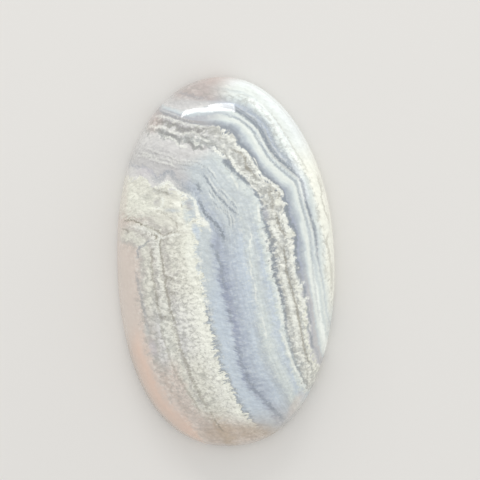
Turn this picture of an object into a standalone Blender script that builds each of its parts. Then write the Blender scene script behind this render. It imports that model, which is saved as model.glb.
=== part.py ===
"""A polished chalcedony cabochon: an oval of banded stone, cut and domed by hand.

The stone lies on its flat ground back with the dome up. Its origin is the middle of
the back, +Z goes up through the dome, and +Y runs along the stone's length.
"""

import math

import bmesh
import bpy

MM = 0.001

# Driving dimensions
WIDTH = 20.0 * MM
LENGTH = 34.0 * MM
THICKNESS = 6.5 * MM

# The outline: a little squarer than an ellipse, and not quite even, as hand grinding leaves it.
# Each wave is (times round the stone, share of the radius along cos, share along sin).
OUTLINE_SQUARENESS = 2.16
GRINDING_WAVES = (
    (3, 0.0037, -0.0050),
    (5, 0.0024, 0.0031),
)

# The section: a small bevel round the back, a low wall that leans in, and a smooth dome.
# The dome leaves the wall part of the way up its own curve, so the two meet in a soft edge.
BACK_BEVEL = 0.35 * MM
WALL_TOP = 1.7 * MM
WALL_LEAN = math.radians(14.0)
DOME_START = math.radians(12.0)
DOME_SHOULDER = 2.25
DOME_ROUNDNESS = 2.0

# How finely the solid is faceted
SEGMENTS = 96
DOME_RINGS = 20
OUTLINE_SAMPLES = 720

CHALCEDONY_COLOUR = (0.60, 0.63, 0.66, 1.0)
CHALCEDONY_ROUGHNESS = 0.08


def clear_scene():
    """Removes whatever the file was opened with."""
    for obj in list(bpy.data.objects):
        bpy.data.objects.remove(obj, do_unlink=True)


def signed_power(value, exponent):
    return math.copysign(abs(value) ** exponent, value)


def raw_outline(turn):
    """A point of the outline before it is fitted to the stone's width and length."""
    radius = 1.0
    for times, along_cos, along_sin in GRINDING_WAVES:
        radius += along_cos * math.cos(times * turn) + along_sin * math.sin(times * turn)
    across = radius * signed_power(math.cos(turn), 2.0 / OUTLINE_SQUARENESS)
    along = radius * signed_power(math.sin(turn), 2.0 / OUTLINE_SQUARENESS)
    return across * WIDTH / 2.0, along * LENGTH / 2.0


def outline_fit():
    """The centre and the stretch that give the outline its exact width and length."""
    points = [raw_outline(2.0 * math.pi * step / OUTLINE_SAMPLES) for step in range(OUTLINE_SAMPLES)]
    fit = []
    for axis, size in ((0, WIDTH), (1, LENGTH)):
        low = min(point[axis] for point in points)
        high = max(point[axis] for point in points)
        fit.append(((low + high) / 2.0, size / (high - low)))
    return fit


def outline(turn, fit):
    raw = raw_outline(turn)
    return tuple((raw[axis] - fit[axis][0]) * fit[axis][1] for axis in (0, 1))


def inward(turn, fit):
    """The unit direction that points into the stone, square to the outline."""
    step = 2.0 * math.pi / OUTLINE_SAMPLES
    before = outline(turn - step, fit)
    after = outline(turn + step, fit)
    run = (after[0] - before[0], after[1] - before[1])
    length = math.hypot(*run)
    return -run[1] / length, run[0] / length


def dome_curve(climb):
    """The dome's own curve: its share of the full radius and of the full height at one angle."""
    return math.cos(climb) ** (2.0 / DOME_SHOULDER), math.sin(climb) ** (2.0 / DOME_ROUNDNESS)


def section_rings():
    """The rings from the back to the last one below the top: (share of the outline, inset, height)."""
    wall_inset = (WALL_TOP - BACK_BEVEL) * math.tan(WALL_LEAN)
    rings = [
        (1.0, BACK_BEVEL, 0.0),
        (1.0, 0.0, BACK_BEVEL),
        (1.0, wall_inset, WALL_TOP),
    ]
    foot_share, foot_rise = dome_curve(DOME_START)
    for ring in range(1, DOME_RINGS):
        climb = DOME_START + (math.pi / 2.0 - DOME_START) * ring / DOME_RINGS
        full_share, full_rise = dome_curve(climb)
        share = full_share / foot_share
        height = WALL_TOP + (THICKNESS - WALL_TOP) * (full_rise - foot_rise) / (1.0 - foot_rise)
        rings.append((share, wall_inset * share, height))
    return rings


def add_ring(bm, fit, share, inset, height):
    """Adds a circle and moves it onto the stone's outline at one height. Returns its edges."""
    circle = bmesh.ops.create_circle(bm, cap_ends=False, segments=SEGMENTS, radius=1.0)
    for vert in circle["verts"]:
        turn = math.atan2(vert.co.y, vert.co.x)
        edge = outline(turn, fit)
        into = inward(turn, fit)
        vert.co = (
            edge[0] * share + into[0] * inset,
            edge[1] * share + into[1] * inset,
            height,
        )
    return list({edge for vert in circle["verts"] for edge in vert.link_edges})


def build_stone_mesh():
    """Bridges the section's rings into one closed body, with a flat back and a pointed fan on top."""
    bm = bmesh.new()
    fit = outline_fit()
    rings = [add_ring(bm, fit, *ring) for ring in section_rings()]
    for lower, upper in zip(rings, rings[1:]):
        bmesh.ops.bridge_loops(bm, edges=lower + upper)
    bmesh.ops.contextual_create(bm, geom=rings[0])
    top_face = bmesh.ops.contextual_create(bm, geom=rings[-1])["faces"]
    top = bmesh.ops.poke(bm, faces=top_face)["verts"][0]
    top.co = (0.0, 0.0, THICKNESS)
    bmesh.ops.recalc_face_normals(bm, faces=bm.faces)
    mesh = bpy.data.meshes.new("cabochon")
    bm.to_mesh(mesh)
    bm.free()
    mesh.shade_smooth()
    mesh.set_sharp_from_angle(angle=math.radians(30.0))
    return mesh


def chalcedony():
    """Polished chalcedony: a pale blue-grey stone with a glassy skin."""
    material = bpy.data.materials.new("polished chalcedony")
    material.use_nodes = True
    shader = material.node_tree.nodes["Principled BSDF"]
    shader.inputs["Base Color"].default_value = CHALCEDONY_COLOUR
    shader.inputs["Roughness"].default_value = CHALCEDONY_ROUGHNESS
    shader.inputs["Metallic"].default_value = 0.0
    return material


def main():
    clear_scene()
    mesh = build_stone_mesh()
    mesh.materials.append(chalcedony())
    stone = bpy.data.objects.new("cabochon", mesh)
    bpy.context.scene.collection.objects.link(stone)


main()
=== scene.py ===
"""The looks of a chalcedony cabochon: banded pale blue, grey and cream stone under a glassy polish.

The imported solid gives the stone's place and size. One finely meshed piece stands for it, ground to
the same outline and dome. The stone's growth bands are kept as smooth fields on that mesh, and its
material turns them into bands, crystal grain and fine lines. Lengths are in metres, and in
millimetres or in pixels of the photograph where a name says so.
"""

import logging
import math
from collections.abc import Iterable
from dataclasses import dataclass, field
from enum import Enum
import bpy
import numpy as np
from mathutils import Matrix, Vector


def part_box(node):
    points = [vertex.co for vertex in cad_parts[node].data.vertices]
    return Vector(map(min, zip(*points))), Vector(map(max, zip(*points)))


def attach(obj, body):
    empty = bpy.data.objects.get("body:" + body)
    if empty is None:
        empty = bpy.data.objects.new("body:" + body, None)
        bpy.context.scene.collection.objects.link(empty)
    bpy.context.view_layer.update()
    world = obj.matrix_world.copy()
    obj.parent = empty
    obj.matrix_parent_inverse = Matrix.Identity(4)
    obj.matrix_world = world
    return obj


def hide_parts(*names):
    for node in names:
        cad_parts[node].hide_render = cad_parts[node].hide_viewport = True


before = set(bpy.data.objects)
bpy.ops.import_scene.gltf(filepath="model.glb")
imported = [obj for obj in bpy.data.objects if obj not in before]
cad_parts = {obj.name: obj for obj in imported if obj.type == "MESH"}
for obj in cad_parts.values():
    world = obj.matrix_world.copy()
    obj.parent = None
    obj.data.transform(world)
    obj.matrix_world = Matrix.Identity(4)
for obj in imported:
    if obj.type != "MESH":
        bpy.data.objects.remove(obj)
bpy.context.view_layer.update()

MM = 0.001

Point = tuple[float, float]
Amounts = tuple[tuple[float, float], ...]
Colour = tuple[float, float, float, float]
Socket = bpy.types.NodeSocket

log = logging.getLogger("cabochon")


class Tint(Enum):
    """The stone's colours, and a painted sheen for its rim, as sRGB hex."""

    PORCELAIN = "#F4F9F3"
    RIM_CREAM = "#F5F6EA"
    PEARL = "#E1E7E2"
    MIST = "#D5DDDB"
    FOG = "#CAD2D4"
    CLOUD = "#BFC7CB"
    SKY = "#C9D4DD"
    HAZE = "#B9C2CD"
    STEEL = "#ABB3BA"
    SLATE = "#959BA2"
    LAVENDER = "#A4ABBB"
    VIOLET_GREY = "#B5B7BC"
    GREEN_WHITE = "#D4DCD9"
    ROSE_GREY = "#CBB8B0"
    TAUPE = "#B9AFAB"
    ASH = "#ABA9A9"
    PUTTY = "#C5C4C3"
    CHALK = "#D6D5D3"
    LACE_WHITE = "#E4E5DC"
    LACE_GREY = "#C9CBC6"
    LACE_SHADE = "#B3B6B4"
    OLIVE_GREY = "#9D9D95"
    CREAM = "#EEEFE1"
    OAT = "#DEDDD1"
    FLINT = "#C6C2BB"
    SAND = "#D8CCC2"
    DUN = "#C8BBB0"
    BLUSH = "#E2C9B9"
    UMBER = "#BEAD9A"
    MAUVE = "#C6C1C6"
    GAP = "#A2A29C"
    CROWN = "#EBEBE2"
    FEATHER = "#959EB1"
    # Painted sheen: the bluish white where the upper right rim reflects the light
    RIM_SHEEN = "#EDF3F2"


Stops = tuple[tuple[float, Tint], ...]


def linear(code: str) -> Colour:
    """Turns an sRGB hex colour to linear light.

    Args:
        code: The colour as "#RRGGBB".

    Returns:
        Red, green and blue from 0 to 1, and an alpha of 1.
    """
    parts = [int(code[start : start + 2], 16) / 255.0 for start in (1, 3, 5)]
    light = [part / 12.92 if part <= 0.04045 else ((part + 0.055) / 1.055) ** 2.4 for part in parts]
    return (*light, 1.0)


@dataclass(frozen=True)
class PhotoView:
    """How the photograph looks at the stone: nearly straight down on the dome, from close by."""

    image_px: float = 480.0
    sensor_mm: float = 36.0
    distance_mm: float = 180.0
    px_per_mm: float = 10.84
    stone_centre_px: Point = (225.9, 261.5)
    lean_deg: float = 1.83
    measured_height_mm: float = 0.35
    nearest_m: float = 0.01
    farthest_m: float = 10.0

    @property
    def lens_mm(self) -> float:
        """The focal length that gives the stone its size in the picture."""
        return self.px_per_mm * self.distance_mm * self.sensor_mm / self.image_px

    def axes(self) -> np.ndarray:
        """The camera's right, up and backward directions, one to a row, in the stone's frame."""
        cosine, sine = math.cos(math.radians(self.lean_deg)), math.sin(math.radians(self.lean_deg))
        return np.array([[cosine, -sine, 0.0], [sine, cosine, 0.0], [0.0, 0.0, 1.0]])

    def place_mm(self) -> np.ndarray:
        """Finds where the camera stands, so that the stone's middle falls on its pixel.

        Returns:
            The place in millimetres.
        """
        right, up, back = self.axes()
        half = self.image_px / 2.0
        aside = (self.stone_centre_px[0] - half) / self.px_per_mm
        below = (self.stone_centre_px[1] - half) / self.px_per_mm
        middle = np.array([0.0, 0.0, self.measured_height_mm])
        return middle + back * self.distance_mm - right * aside + up * below

    def to_pixels(self, points_mm: np.ndarray) -> np.ndarray:
        """Finds where points of the stone fall in the photograph.

        Args:
            points_mm: Points in millimetres, one to a row.

        Returns:
            Their pixels, across and down, one to a row.
        """
        right, up, back = self.axes()
        offset = points_mm - self.place_mm()
        reach = self.px_per_mm * self.distance_mm / -(offset @ back)
        half = self.image_px / 2.0
        return np.stack([half + reach * (offset @ right), half - reach * (offset @ up)], axis=1)

    def add_camera(self) -> bpy.types.Object:
        """Adds the camera and makes it the scene's own.

        Returns:
            The camera's object.
        """
        data = bpy.data.cameras.new("photo camera")
        data.lens = self.lens_mm
        data.sensor_width = self.sensor_mm
        data.sensor_fit = "HORIZONTAL"
        data.clip_start = self.nearest_m
        data.clip_end = self.farthest_m
        camera = bpy.data.objects.new("photo camera", data)
        pose = np.eye(4)
        pose[:3, :3] = self.axes().T
        pose[:3, 3] = self.place_mm() * MM
        camera.matrix_world = Matrix(pose.tolist())
        bpy.context.scene.collection.objects.link(camera)
        bpy.context.scene.camera = camera
        return camera


def turns(count: int) -> np.ndarray:
    """Gives that many evenly spaced angles, once round the stone."""
    return np.arange(count) * math.tau / count


@dataclass(frozen=True)
class GroundShape:
    """The stone's ground shape, by the same formulas as its solid, in millimetres."""

    width: float
    length: float
    thickness: float
    squareness: float = 2.16
    # Each wave is how often it goes round, and its shares of the radius along cos and along sin.
    grinding_waves: tuple[tuple[int, float, float], ...] = ((3, 0.0037, -0.0050), (5, 0.0024, 0.0031))
    back_bevel: float = 0.35
    wall_top: float = 1.7
    wall_lean_deg: float = 14.0
    dome_start_deg: float = 12.0
    dome_shoulder: float = 2.25
    outline_samples: int = 720

    @classmethod
    def from_frame(cls) -> "GroundShape":
        """Takes the stone's width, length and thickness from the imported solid.

        Returns:
            The shape of that size.
        """
        low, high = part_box("cabochon")
        width, length, thickness = ((high[axis] - low[axis]) / MM for axis in range(3))
        return cls(width=width, length=length, thickness=thickness)

    @property
    def wall_inset(self) -> float:
        """How far the wall leans in from the girdle to its top."""
        return (self.wall_top - self.back_bevel) * math.tan(math.radians(self.wall_lean_deg))

    @property
    def girdle_scale(self) -> float:
        """How much wider the girdle is than the top of the wall."""
        return 1.0 + self.wall_inset / (self.width / 2.0)

    @property
    def back_scale(self) -> float:
        """How much narrower the flat back is than the girdle."""
        return 1.0 - self.back_bevel / (self.width / 2.0)

    def raw_outline(self, turn: np.ndarray) -> np.ndarray:
        """Finds the outline at some angles, before it is fitted to the width and length.

        Args:
            turn: The angles in radians.

        Returns:
            The outline's points, one to a row.
        """
        radius = np.ones_like(turn)
        for times, along_cos, along_sin in self.grinding_waves:
            radius = radius + along_cos * np.cos(times * turn) + along_sin * np.sin(times * turn)
        aim = np.stack([np.cos(turn), np.sin(turn)], axis=1)
        squared = np.sign(aim) * np.abs(aim) ** (2.0 / self.squareness)
        return radius[:, None] * squared * np.array([self.width, self.length]) / 2.0

    def outline(self, turn: np.ndarray) -> np.ndarray:
        """Finds the outline at some angles, centred and exactly as wide and long as the stone.

        Args:
            turn: The angles in radians.

        Returns:
            The outline's points, one to a row.
        """
        samples = self.raw_outline(turns(self.outline_samples))
        low, high = samples.min(axis=0), samples.max(axis=0)
        stretch = np.array([self.width, self.length]) / (high - low)
        return (self.raw_outline(turn) - (low + high) / 2.0) * stretch

    def inward(self, turn: np.ndarray) -> np.ndarray:
        """Finds the unit directions into the stone, square to its outline.

        Args:
            turn: The angles in radians.

        Returns:
            The directions, one to a row.
        """
        step = math.tau / self.outline_samples
        run = self.outline(turn + step) - self.outline(turn - step)
        square = np.stack([-run[:, 1], run[:, 0]], axis=1)
        return square / np.linalg.norm(square, axis=1, keepdims=True)

    def ring(self, turn: np.ndarray, inset: float | np.ndarray) -> np.ndarray:
        """Moves the outline in by an inset."""
        return self.outline(turn) + self.inward(turn) * inset

    def dome_height(self, share: np.ndarray) -> np.ndarray:
        """Finds the dome's height at some shares of the way from the middle to the top of the wall.

        Args:
            share: The shares, from 0 to 1.

        Returns:
            The heights in millimetres.
        """
        start = math.radians(self.dome_start_deg)
        foot_share = math.cos(start) ** (2.0 / self.dome_shoulder)
        foot_rise = math.sin(start)
        cosine = (np.clip(share, 0.0, 1.0) * foot_share) ** (self.dome_shoulder / 2.0)
        rise = np.sqrt(1.0 - cosine**2)
        return self.wall_top + (self.thickness - self.wall_top) * (rise - foot_rise) / (1.0 - foot_rise)


def reach_of_polygon(corners: np.ndarray, angles: np.ndarray) -> np.ndarray:
    """Finds how far a closed polygon round the origin reaches at some angles.

    Args:
        corners: The polygon's corners, one to a row.
        angles: Directions in radians.

    Returns:
        The distance from the origin to the polygon in each direction.
    """
    corner_angles = np.arctan2(corners[:, 1], corners[:, 0])
    order = np.argsort(corner_angles)
    ring = corners[order]
    after = np.searchsorted(corner_angles[order], angles, side="right") % len(ring)
    first = ring[after - 1]
    run = ring[after] - first
    across = first[:, 0] * run[:, 1] - first[:, 1] * run[:, 0]
    return across / (np.cos(angles) * run[:, 1] - np.sin(angles) * run[:, 0])


def smooth_path(corners: tuple[Point, ...], step: float) -> np.ndarray:
    """Runs a smooth curve through given points.

    Args:
        corners: The points, in order.
        step: The most that two points of the result lie apart.

    Returns:
        Points of the curve, one to a row.
    """
    points = np.array(corners, dtype=float)
    gaps = np.sqrt(np.linalg.norm(np.diff(points, axis=0), axis=1))
    slopes = np.diff(points, axis=0) / gaps[:, None]
    inner = (slopes[:-1] * gaps[1:, None] + slopes[1:] * gaps[:-1, None]) / (gaps[1:] + gaps[:-1])[:, None]
    tangents = np.vstack([slopes[:1], inner, slopes[-1:]])
    pieces = []
    for start, end, gap, leave, arrive in zip(points, points[1:], gaps, tangents, tangents[1:]):
        count = max(2, math.ceil(float(np.linalg.norm(end - start)) / step))
        share = (np.arange(count) / count)[:, None]
        pieces.append(
            (2 * share**3 - 3 * share**2 + 1) * start
            + (share**3 - 2 * share**2 + share) * gap * leave
            + (3 * share**2 - 2 * share**3) * end
            + (share**3 - share**2) * gap * arrive
        )
    pieces.append(points[-1:])
    return np.vstack(pieces)


def nearest_on_path(points: np.ndarray, path: np.ndarray) -> tuple[np.ndarray, np.ndarray]:
    """Measures points against a path.

    Args:
        points: The points, one to a row.
        path: The path's own points, in order.

    Returns:
        Each point's distance, above zero on the path's right-hand side where y runs down, and how
        far along the path it lies, from 0 to 1.
    """
    best = np.full(len(points), np.inf)
    side = np.ones(len(points))
    along = np.zeros(len(points))
    runs = np.diff(path, axis=0)
    lengths = np.linalg.norm(runs, axis=1)
    passed = np.concatenate([[0.0], np.cumsum(lengths)])
    for start, run, length, before in zip(path, runs, lengths, passed):
        offset = points - start
        share = np.clip(offset @ run / length**2, 0.0, 1.0)
        gap = offset - share[:, None] * run
        distance = np.hypot(gap[:, 0], gap[:, 1])
        nearer = distance < best
        turned = run[0] * offset[:, 1] - run[1] * offset[:, 0]
        best[nearer] = distance[nearer]
        side[nearer] = np.where(turned[nearer] < 0.0, -1.0, 1.0)
        along[nearer] = (before + share[nearer] * length) / passed[-1]
    return best * side, along


def smoothstep(low: float, high: float, value: np.ndarray) -> np.ndarray:
    """Makes a soft step from 0 at low to 1 at high."""
    share = np.clip((value - low) / (high - low), 0.0, 1.0)
    return share * share * (3.0 - 2.0 * share)


@dataclass(frozen=True)
class GrowthFront:
    """One front that the stone grew along: the place where it bends, and its path down the dome.

    The path runs from the left arm over the bend and down the right flank, in pixels of the
    photograph, and goes on past the stone's rim at both ends.
    """

    bend_px: Point
    path_px: tuple[Point, ...]

    @classmethod
    def bent_at(cls, bend_px: Point, *path_px: Point) -> "GrowthFront":
        """Makes a front from its bend and the points that its path runs through."""
        return cls(bend_px, path_px)


GROWTH_FRONTS = (
    # Outside right
    GrowthFront.bent_at(
        (284, 90), (150, 62), (200, 62), (240, 64), (264, 74), (284, 90), (302, 112), (317, 140),
        (328, 172), (335, 205), (340, 250), (341, 300), (340, 340), (336, 370),
    ),
    # Thin outer line
    GrowthFront.bent_at(
        (262, 106), (150, 70), (180, 79), (197, 84), (212, 86.5), (228, 88), (243, 91), (254, 98),
        (264, 107), (274, 118), (283, 131), (292, 146), (301, 160), (309, 174), (315, 190), (321, 208),
        (326, 232), (329.5, 262), (332, 290), (336, 320), (338, 350),
    ),
    # Soft violet line
    GrowthFront.bent_at(
        (260, 118), (140, 84), (165, 90), (180, 93), (200, 98), (215, 100.5), (236, 103), (248, 110),
        (260, 118), (268, 127), (273, 138), (280, 150), (290, 161), (301, 174), (308, 185), (315, 210),
        (320, 240), (323, 270), (328, 300), (331, 330), (335, 360),
    ),
    # Dark double line
    GrowthFront.bent_at(
        (255, 123), (140, 96), (160, 104), (180, 107.5), (200, 106.5), (225, 105.5), (236, 108), (245, 116),
        (255, 123), (261, 131), (270, 149), (279, 160), (299, 178), (303, 190), (308, 210), (314, 230),
        (318, 260), (322, 282), (326, 310), (329, 335), (332, 365),
    ),
    # Beaded line
    GrowthFront.bent_at(
        (255, 131), (140, 102), (160, 108), (172, 111), (183, 115.5), (192, 117), (200, 116), (212, 113.5),
        (220, 112), (232, 116), (247, 125), (255, 131), (262, 147), (273, 162), (292, 179), (298, 190),
        (300.5, 205), (308, 229), (312, 260), (319, 295), (325, 335), (328, 370),
    ),
    # Green-grey band
    GrowthFront.bent_at(
        (249.7, 137), (140, 104), (160, 110), (172, 113), (183, 117), (192, 119), (202, 119.5),
        (214, 118.5), (226, 119), (238, 125), (249.7, 137), (262, 160), (280, 178), (290, 183), (296, 200),
        (303, 230), (309, 260), (314, 295), (319.5, 322), (322, 345), (324, 375),
    ),
    # Violet hem of the lace
    GrowthFront.bent_at(
        (244, 143), (140, 107), (158, 111), (172, 115), (184, 119), (198, 122), (212, 123), (226, 125.5),
        (236, 132), (244, 143), (252, 151), (258, 163), (268, 175), (279, 184), (286, 195), (291, 215),
        (298, 232), (299, 255), (304, 280), (311, 310), (314, 340), (319, 362), (322, 385),
    ),
    # Lace outer edge
    GrowthFront.bent_at(
        (245, 149), (140, 113), (152, 117), (170, 119), (180, 123), (192, 125.5), (207, 127), (220, 127),
        (228, 129), (236, 139), (245, 149), (255, 161), (265, 176), (276, 184), (283, 192), (285, 205),
        (288, 221), (295, 231), (294, 250), (297, 266), (301, 284), (307, 305), (309, 325), (312, 350),
        (319, 370), (322, 392),
    ),
    # Lace dark thread
    GrowthFront.bent_at(
        (246, 163), (138, 122), (150, 126), (166, 128), (180, 134), (194, 134), (206, 136), (216, 139),
        (226, 146), (234, 155), (246, 163), (254, 176), (266, 190), (274, 204), (278, 222), (284, 245),
        (287, 272), (294, 297), (299, 325), (305, 350), (312, 375), (318, 398),
    ),
    # Lace inner edge
    GrowthFront.bent_at(
        (244, 178), (134, 128), (150, 131), (163, 136), (177, 141), (188, 144), (200, 149), (212, 147),
        (223, 158), (234, 171), (244, 178), (252, 188), (259, 200), (262, 214), (267, 230), (270.5, 248),
        (274, 272), (280, 295), (285, 320), (290, 348), (300, 373), (309, 392), (318, 410),
    ),
    # Flecked line in the blue
    GrowthFront.bent_at(
        (215, 183), (118, 149), (136, 153), (152, 157), (165, 160), (176, 165), (190, 167), (202, 169),
        (210, 177), (220, 190), (233, 204), (240, 222), (246, 245), (252, 275), (258, 305), (265, 330),
        (274, 358), (281, 373), (292, 398), (304, 424),
    ),
    # Feathered streak
    GrowthFront.bent_at(
        (207, 215), (112, 163), (130, 163), (140, 164), (147, 166), (153, 171), (162, 173), (169, 170.5),
        (177, 176), (187, 185), (195, 193), (200, 203), (207, 215), (214, 225), (218, 236), (217.5, 250),
        (220.5, 268), (225.5, 288), (231.5, 310), (236, 330), (240.5, 358), (247.5, 378), (262, 396),
        (279, 417), (292, 436),
    ),
    # Cream edge
    GrowthFront.bent_at(
        (206, 228), (110, 177), (128, 177), (142, 178), (148, 184), (155, 189), (161, 187), (167, 182),
        (172, 184), (180, 191.5), (192, 197), (196, 210), (203, 220), (205, 228), (198.5, 236),
        (195.5, 248), (200, 264), (204, 284), (207, 305), (211, 328), (217.5, 350), (224, 369), (232, 389),
        (241.5, 406), (252, 421), (266, 440), (274, 452),
    ),
    # Crack and dark thread
    GrowthFront.bent_at(
        (160.5, 239), (106, 217), (124, 219), (136, 221), (147, 226), (156, 231), (160.5, 239), (161, 252),
        (163, 268), (165, 285), (170, 307), (176, 330), (181, 354), (189, 376), (198, 398), (208, 415),
        (220, 432), (230, 452),
    ),
    # Broken thread
    GrowthFront.bent_at(
        (147, 240), (106, 227), (122, 229), (134, 233), (144, 239), (149, 252), (152, 270), (157, 300),
        (163, 328), (167, 352), (176, 376), (188, 400), (202, 422), (214, 446),
    ),
    # Smooth left band
    GrowthFront.bent_at(
        (137, 251), (106, 242), (120, 245), (130, 247), (136, 251), (137, 265), (137, 290), (141, 315),
        (148, 342), (157, 372), (168, 392), (182, 413), (196, 436), (204, 452),
    ),
    # Outside left
    GrowthFront.bent_at(
        (112, 270), (96, 262), (108, 264), (113, 280), (115, 310), (121, 342), (134, 378), (150, 408),
        (168, 432), (184, 456),
    ),
)


class Shade(Enum):
    """The kinds of fine line in the stone, each with the name of its field and its sRGB colour."""

    GREY = ("grey_lines", "#8E8D8C")
    EARTH = ("earth_lines", "#8F8A7C")
    DARK = ("dark_lines", "#8A929A")
    PALE = ("pale_lines", "#F1F3EA")

    def __init__(self, field_name: str, colour: str) -> None:
        """Keeps the names of the line's two fields, and its colour.

        Args:
            field_name: The field that says how near a line of this kind is.
            colour: The line's colour, as sRGB hex.
        """
        self.field_name = field_name
        self.strength_name = field_name + "_strength"
        self.colour = colour

    def line(self, width_px: float, strength: float, *path_px: Point) -> "FineLine":
        """Draws a line of this kind through points of the photograph."""
        return FineLine(self, width_px, strength, path_px)


@dataclass(frozen=True)
class FineLine:
    """A fine line in the stone: its kind, its width and path in pixels, and how strongly it shows."""

    shade: Shade
    width_px: float
    strength: float
    path_px: tuple[Point, ...]


GREY, EARTH, DARK, PALE = Shade

ARM_LINES = (
    # Soft lines along the outer side of the lace
    DARK.line(
        1.6, 0.5, (159, 110.5), (165, 113.5), (171, 115.5), (178, 118.5), (184, 120.5), (190, 122.5),
        (197, 124), (204, 126),
    ),
    PALE.line(1.3, 0.3, (161, 109.5), (167, 112), (173, 114), (180, 117), (187, 119.5), (193, 121)),
    PALE.line(
        2.2, 0.5, (156, 116), (163, 116.5), (170, 118.5), (178, 121.5), (185, 124), (192, 125.5),
        (199, 126), (206, 127),
    ),
    # Hollows, folds and ridges in the lace
    GREY.line(4.4, 0.7, (178, 129), (182, 130.5), (187, 131), (192, 129)),
    GREY.line(2.2, 0.5, (160, 121.5), (166, 122.5), (172, 124), (178, 126), (184, 127)),
    GREY.line(2.4, 0.65, (206, 129), (201, 129.5), (198, 132), (200, 136), (205, 138), (208, 139)),
    PALE.line(
        2.4, 0.5, (149, 126), (156, 127), (163, 127), (168, 129.5), (172, 132), (178, 133.5), (184, 134.5),
        (190, 132.5), (194, 132), (198, 135), (203, 139), (208, 141),
    ),
    GREY.line(3.8, 0.65, (158, 131), (162, 133), (168, 134), (173, 135.5), (178, 138.5), (182, 141)),
    GREY.line(3.4, 0.6, (186, 137), (189, 141), (192, 145), (194.5, 148)),
    GREY.line(2.4, 0.55, (196, 146), (200, 146.5), (203, 148.5), (206, 146)),
    PALE.line(2.2, 0.7, (164, 136.5), (170, 138), (175, 141), (178, 144.5), (182, 146.5), (187, 146.5)),
    PALE.line(2.6, 0.7, (194.5, 141), (196, 144.5), (199, 143.5)),
    # Fine laminae under it, each dark one with a pale one beside it
    GREY.line(
        1.5, 0.4, (147, 149.5), (153, 152.5), (160, 155), (167, 156.3), (173, 159), (178, 161.5),
        (186, 162), (197, 163), (208, 168),
    ),
    PALE.line(
        1.2, 0.35, (149, 148.5), (156, 151.5), (163, 153.5), (170, 155.7), (175, 158.5), (180, 160),
        (190, 160.5), (203, 162),
    ),
    GREY.line(
        1.6, 0.4, (135, 153), (146, 154.8), (152, 157.5), (158, 159.6), (165, 160.2), (171, 162.5),
        (177, 164.7), (186, 165.2), (194, 166.5),
    ),
    PALE.line(
        1.2, 0.4, (140, 151.5), (148, 153.8), (155, 156.5), (161, 158), (168, 159.3), (174, 161.8),
        (182, 163.3), (194, 164.7),
    ),
    GREY.line(
        1.8, 0.35, (138, 157), (147, 158), (154, 161.5), (161, 164), (168, 165.5), (174, 168.3), (181, 169),
        (190, 170),
    ),
    PALE.line(1.3, 0.45, (140, 155.3), (148, 156.3), (155, 159.6), (162, 162.2), (170, 164), (177, 167)),
    # A grey line near the top of the stone
    DARK.line(3.0, 0.35, (176, 92), (185, 94), (193, 96), (200, 98), (207, 98)),
)

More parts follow.
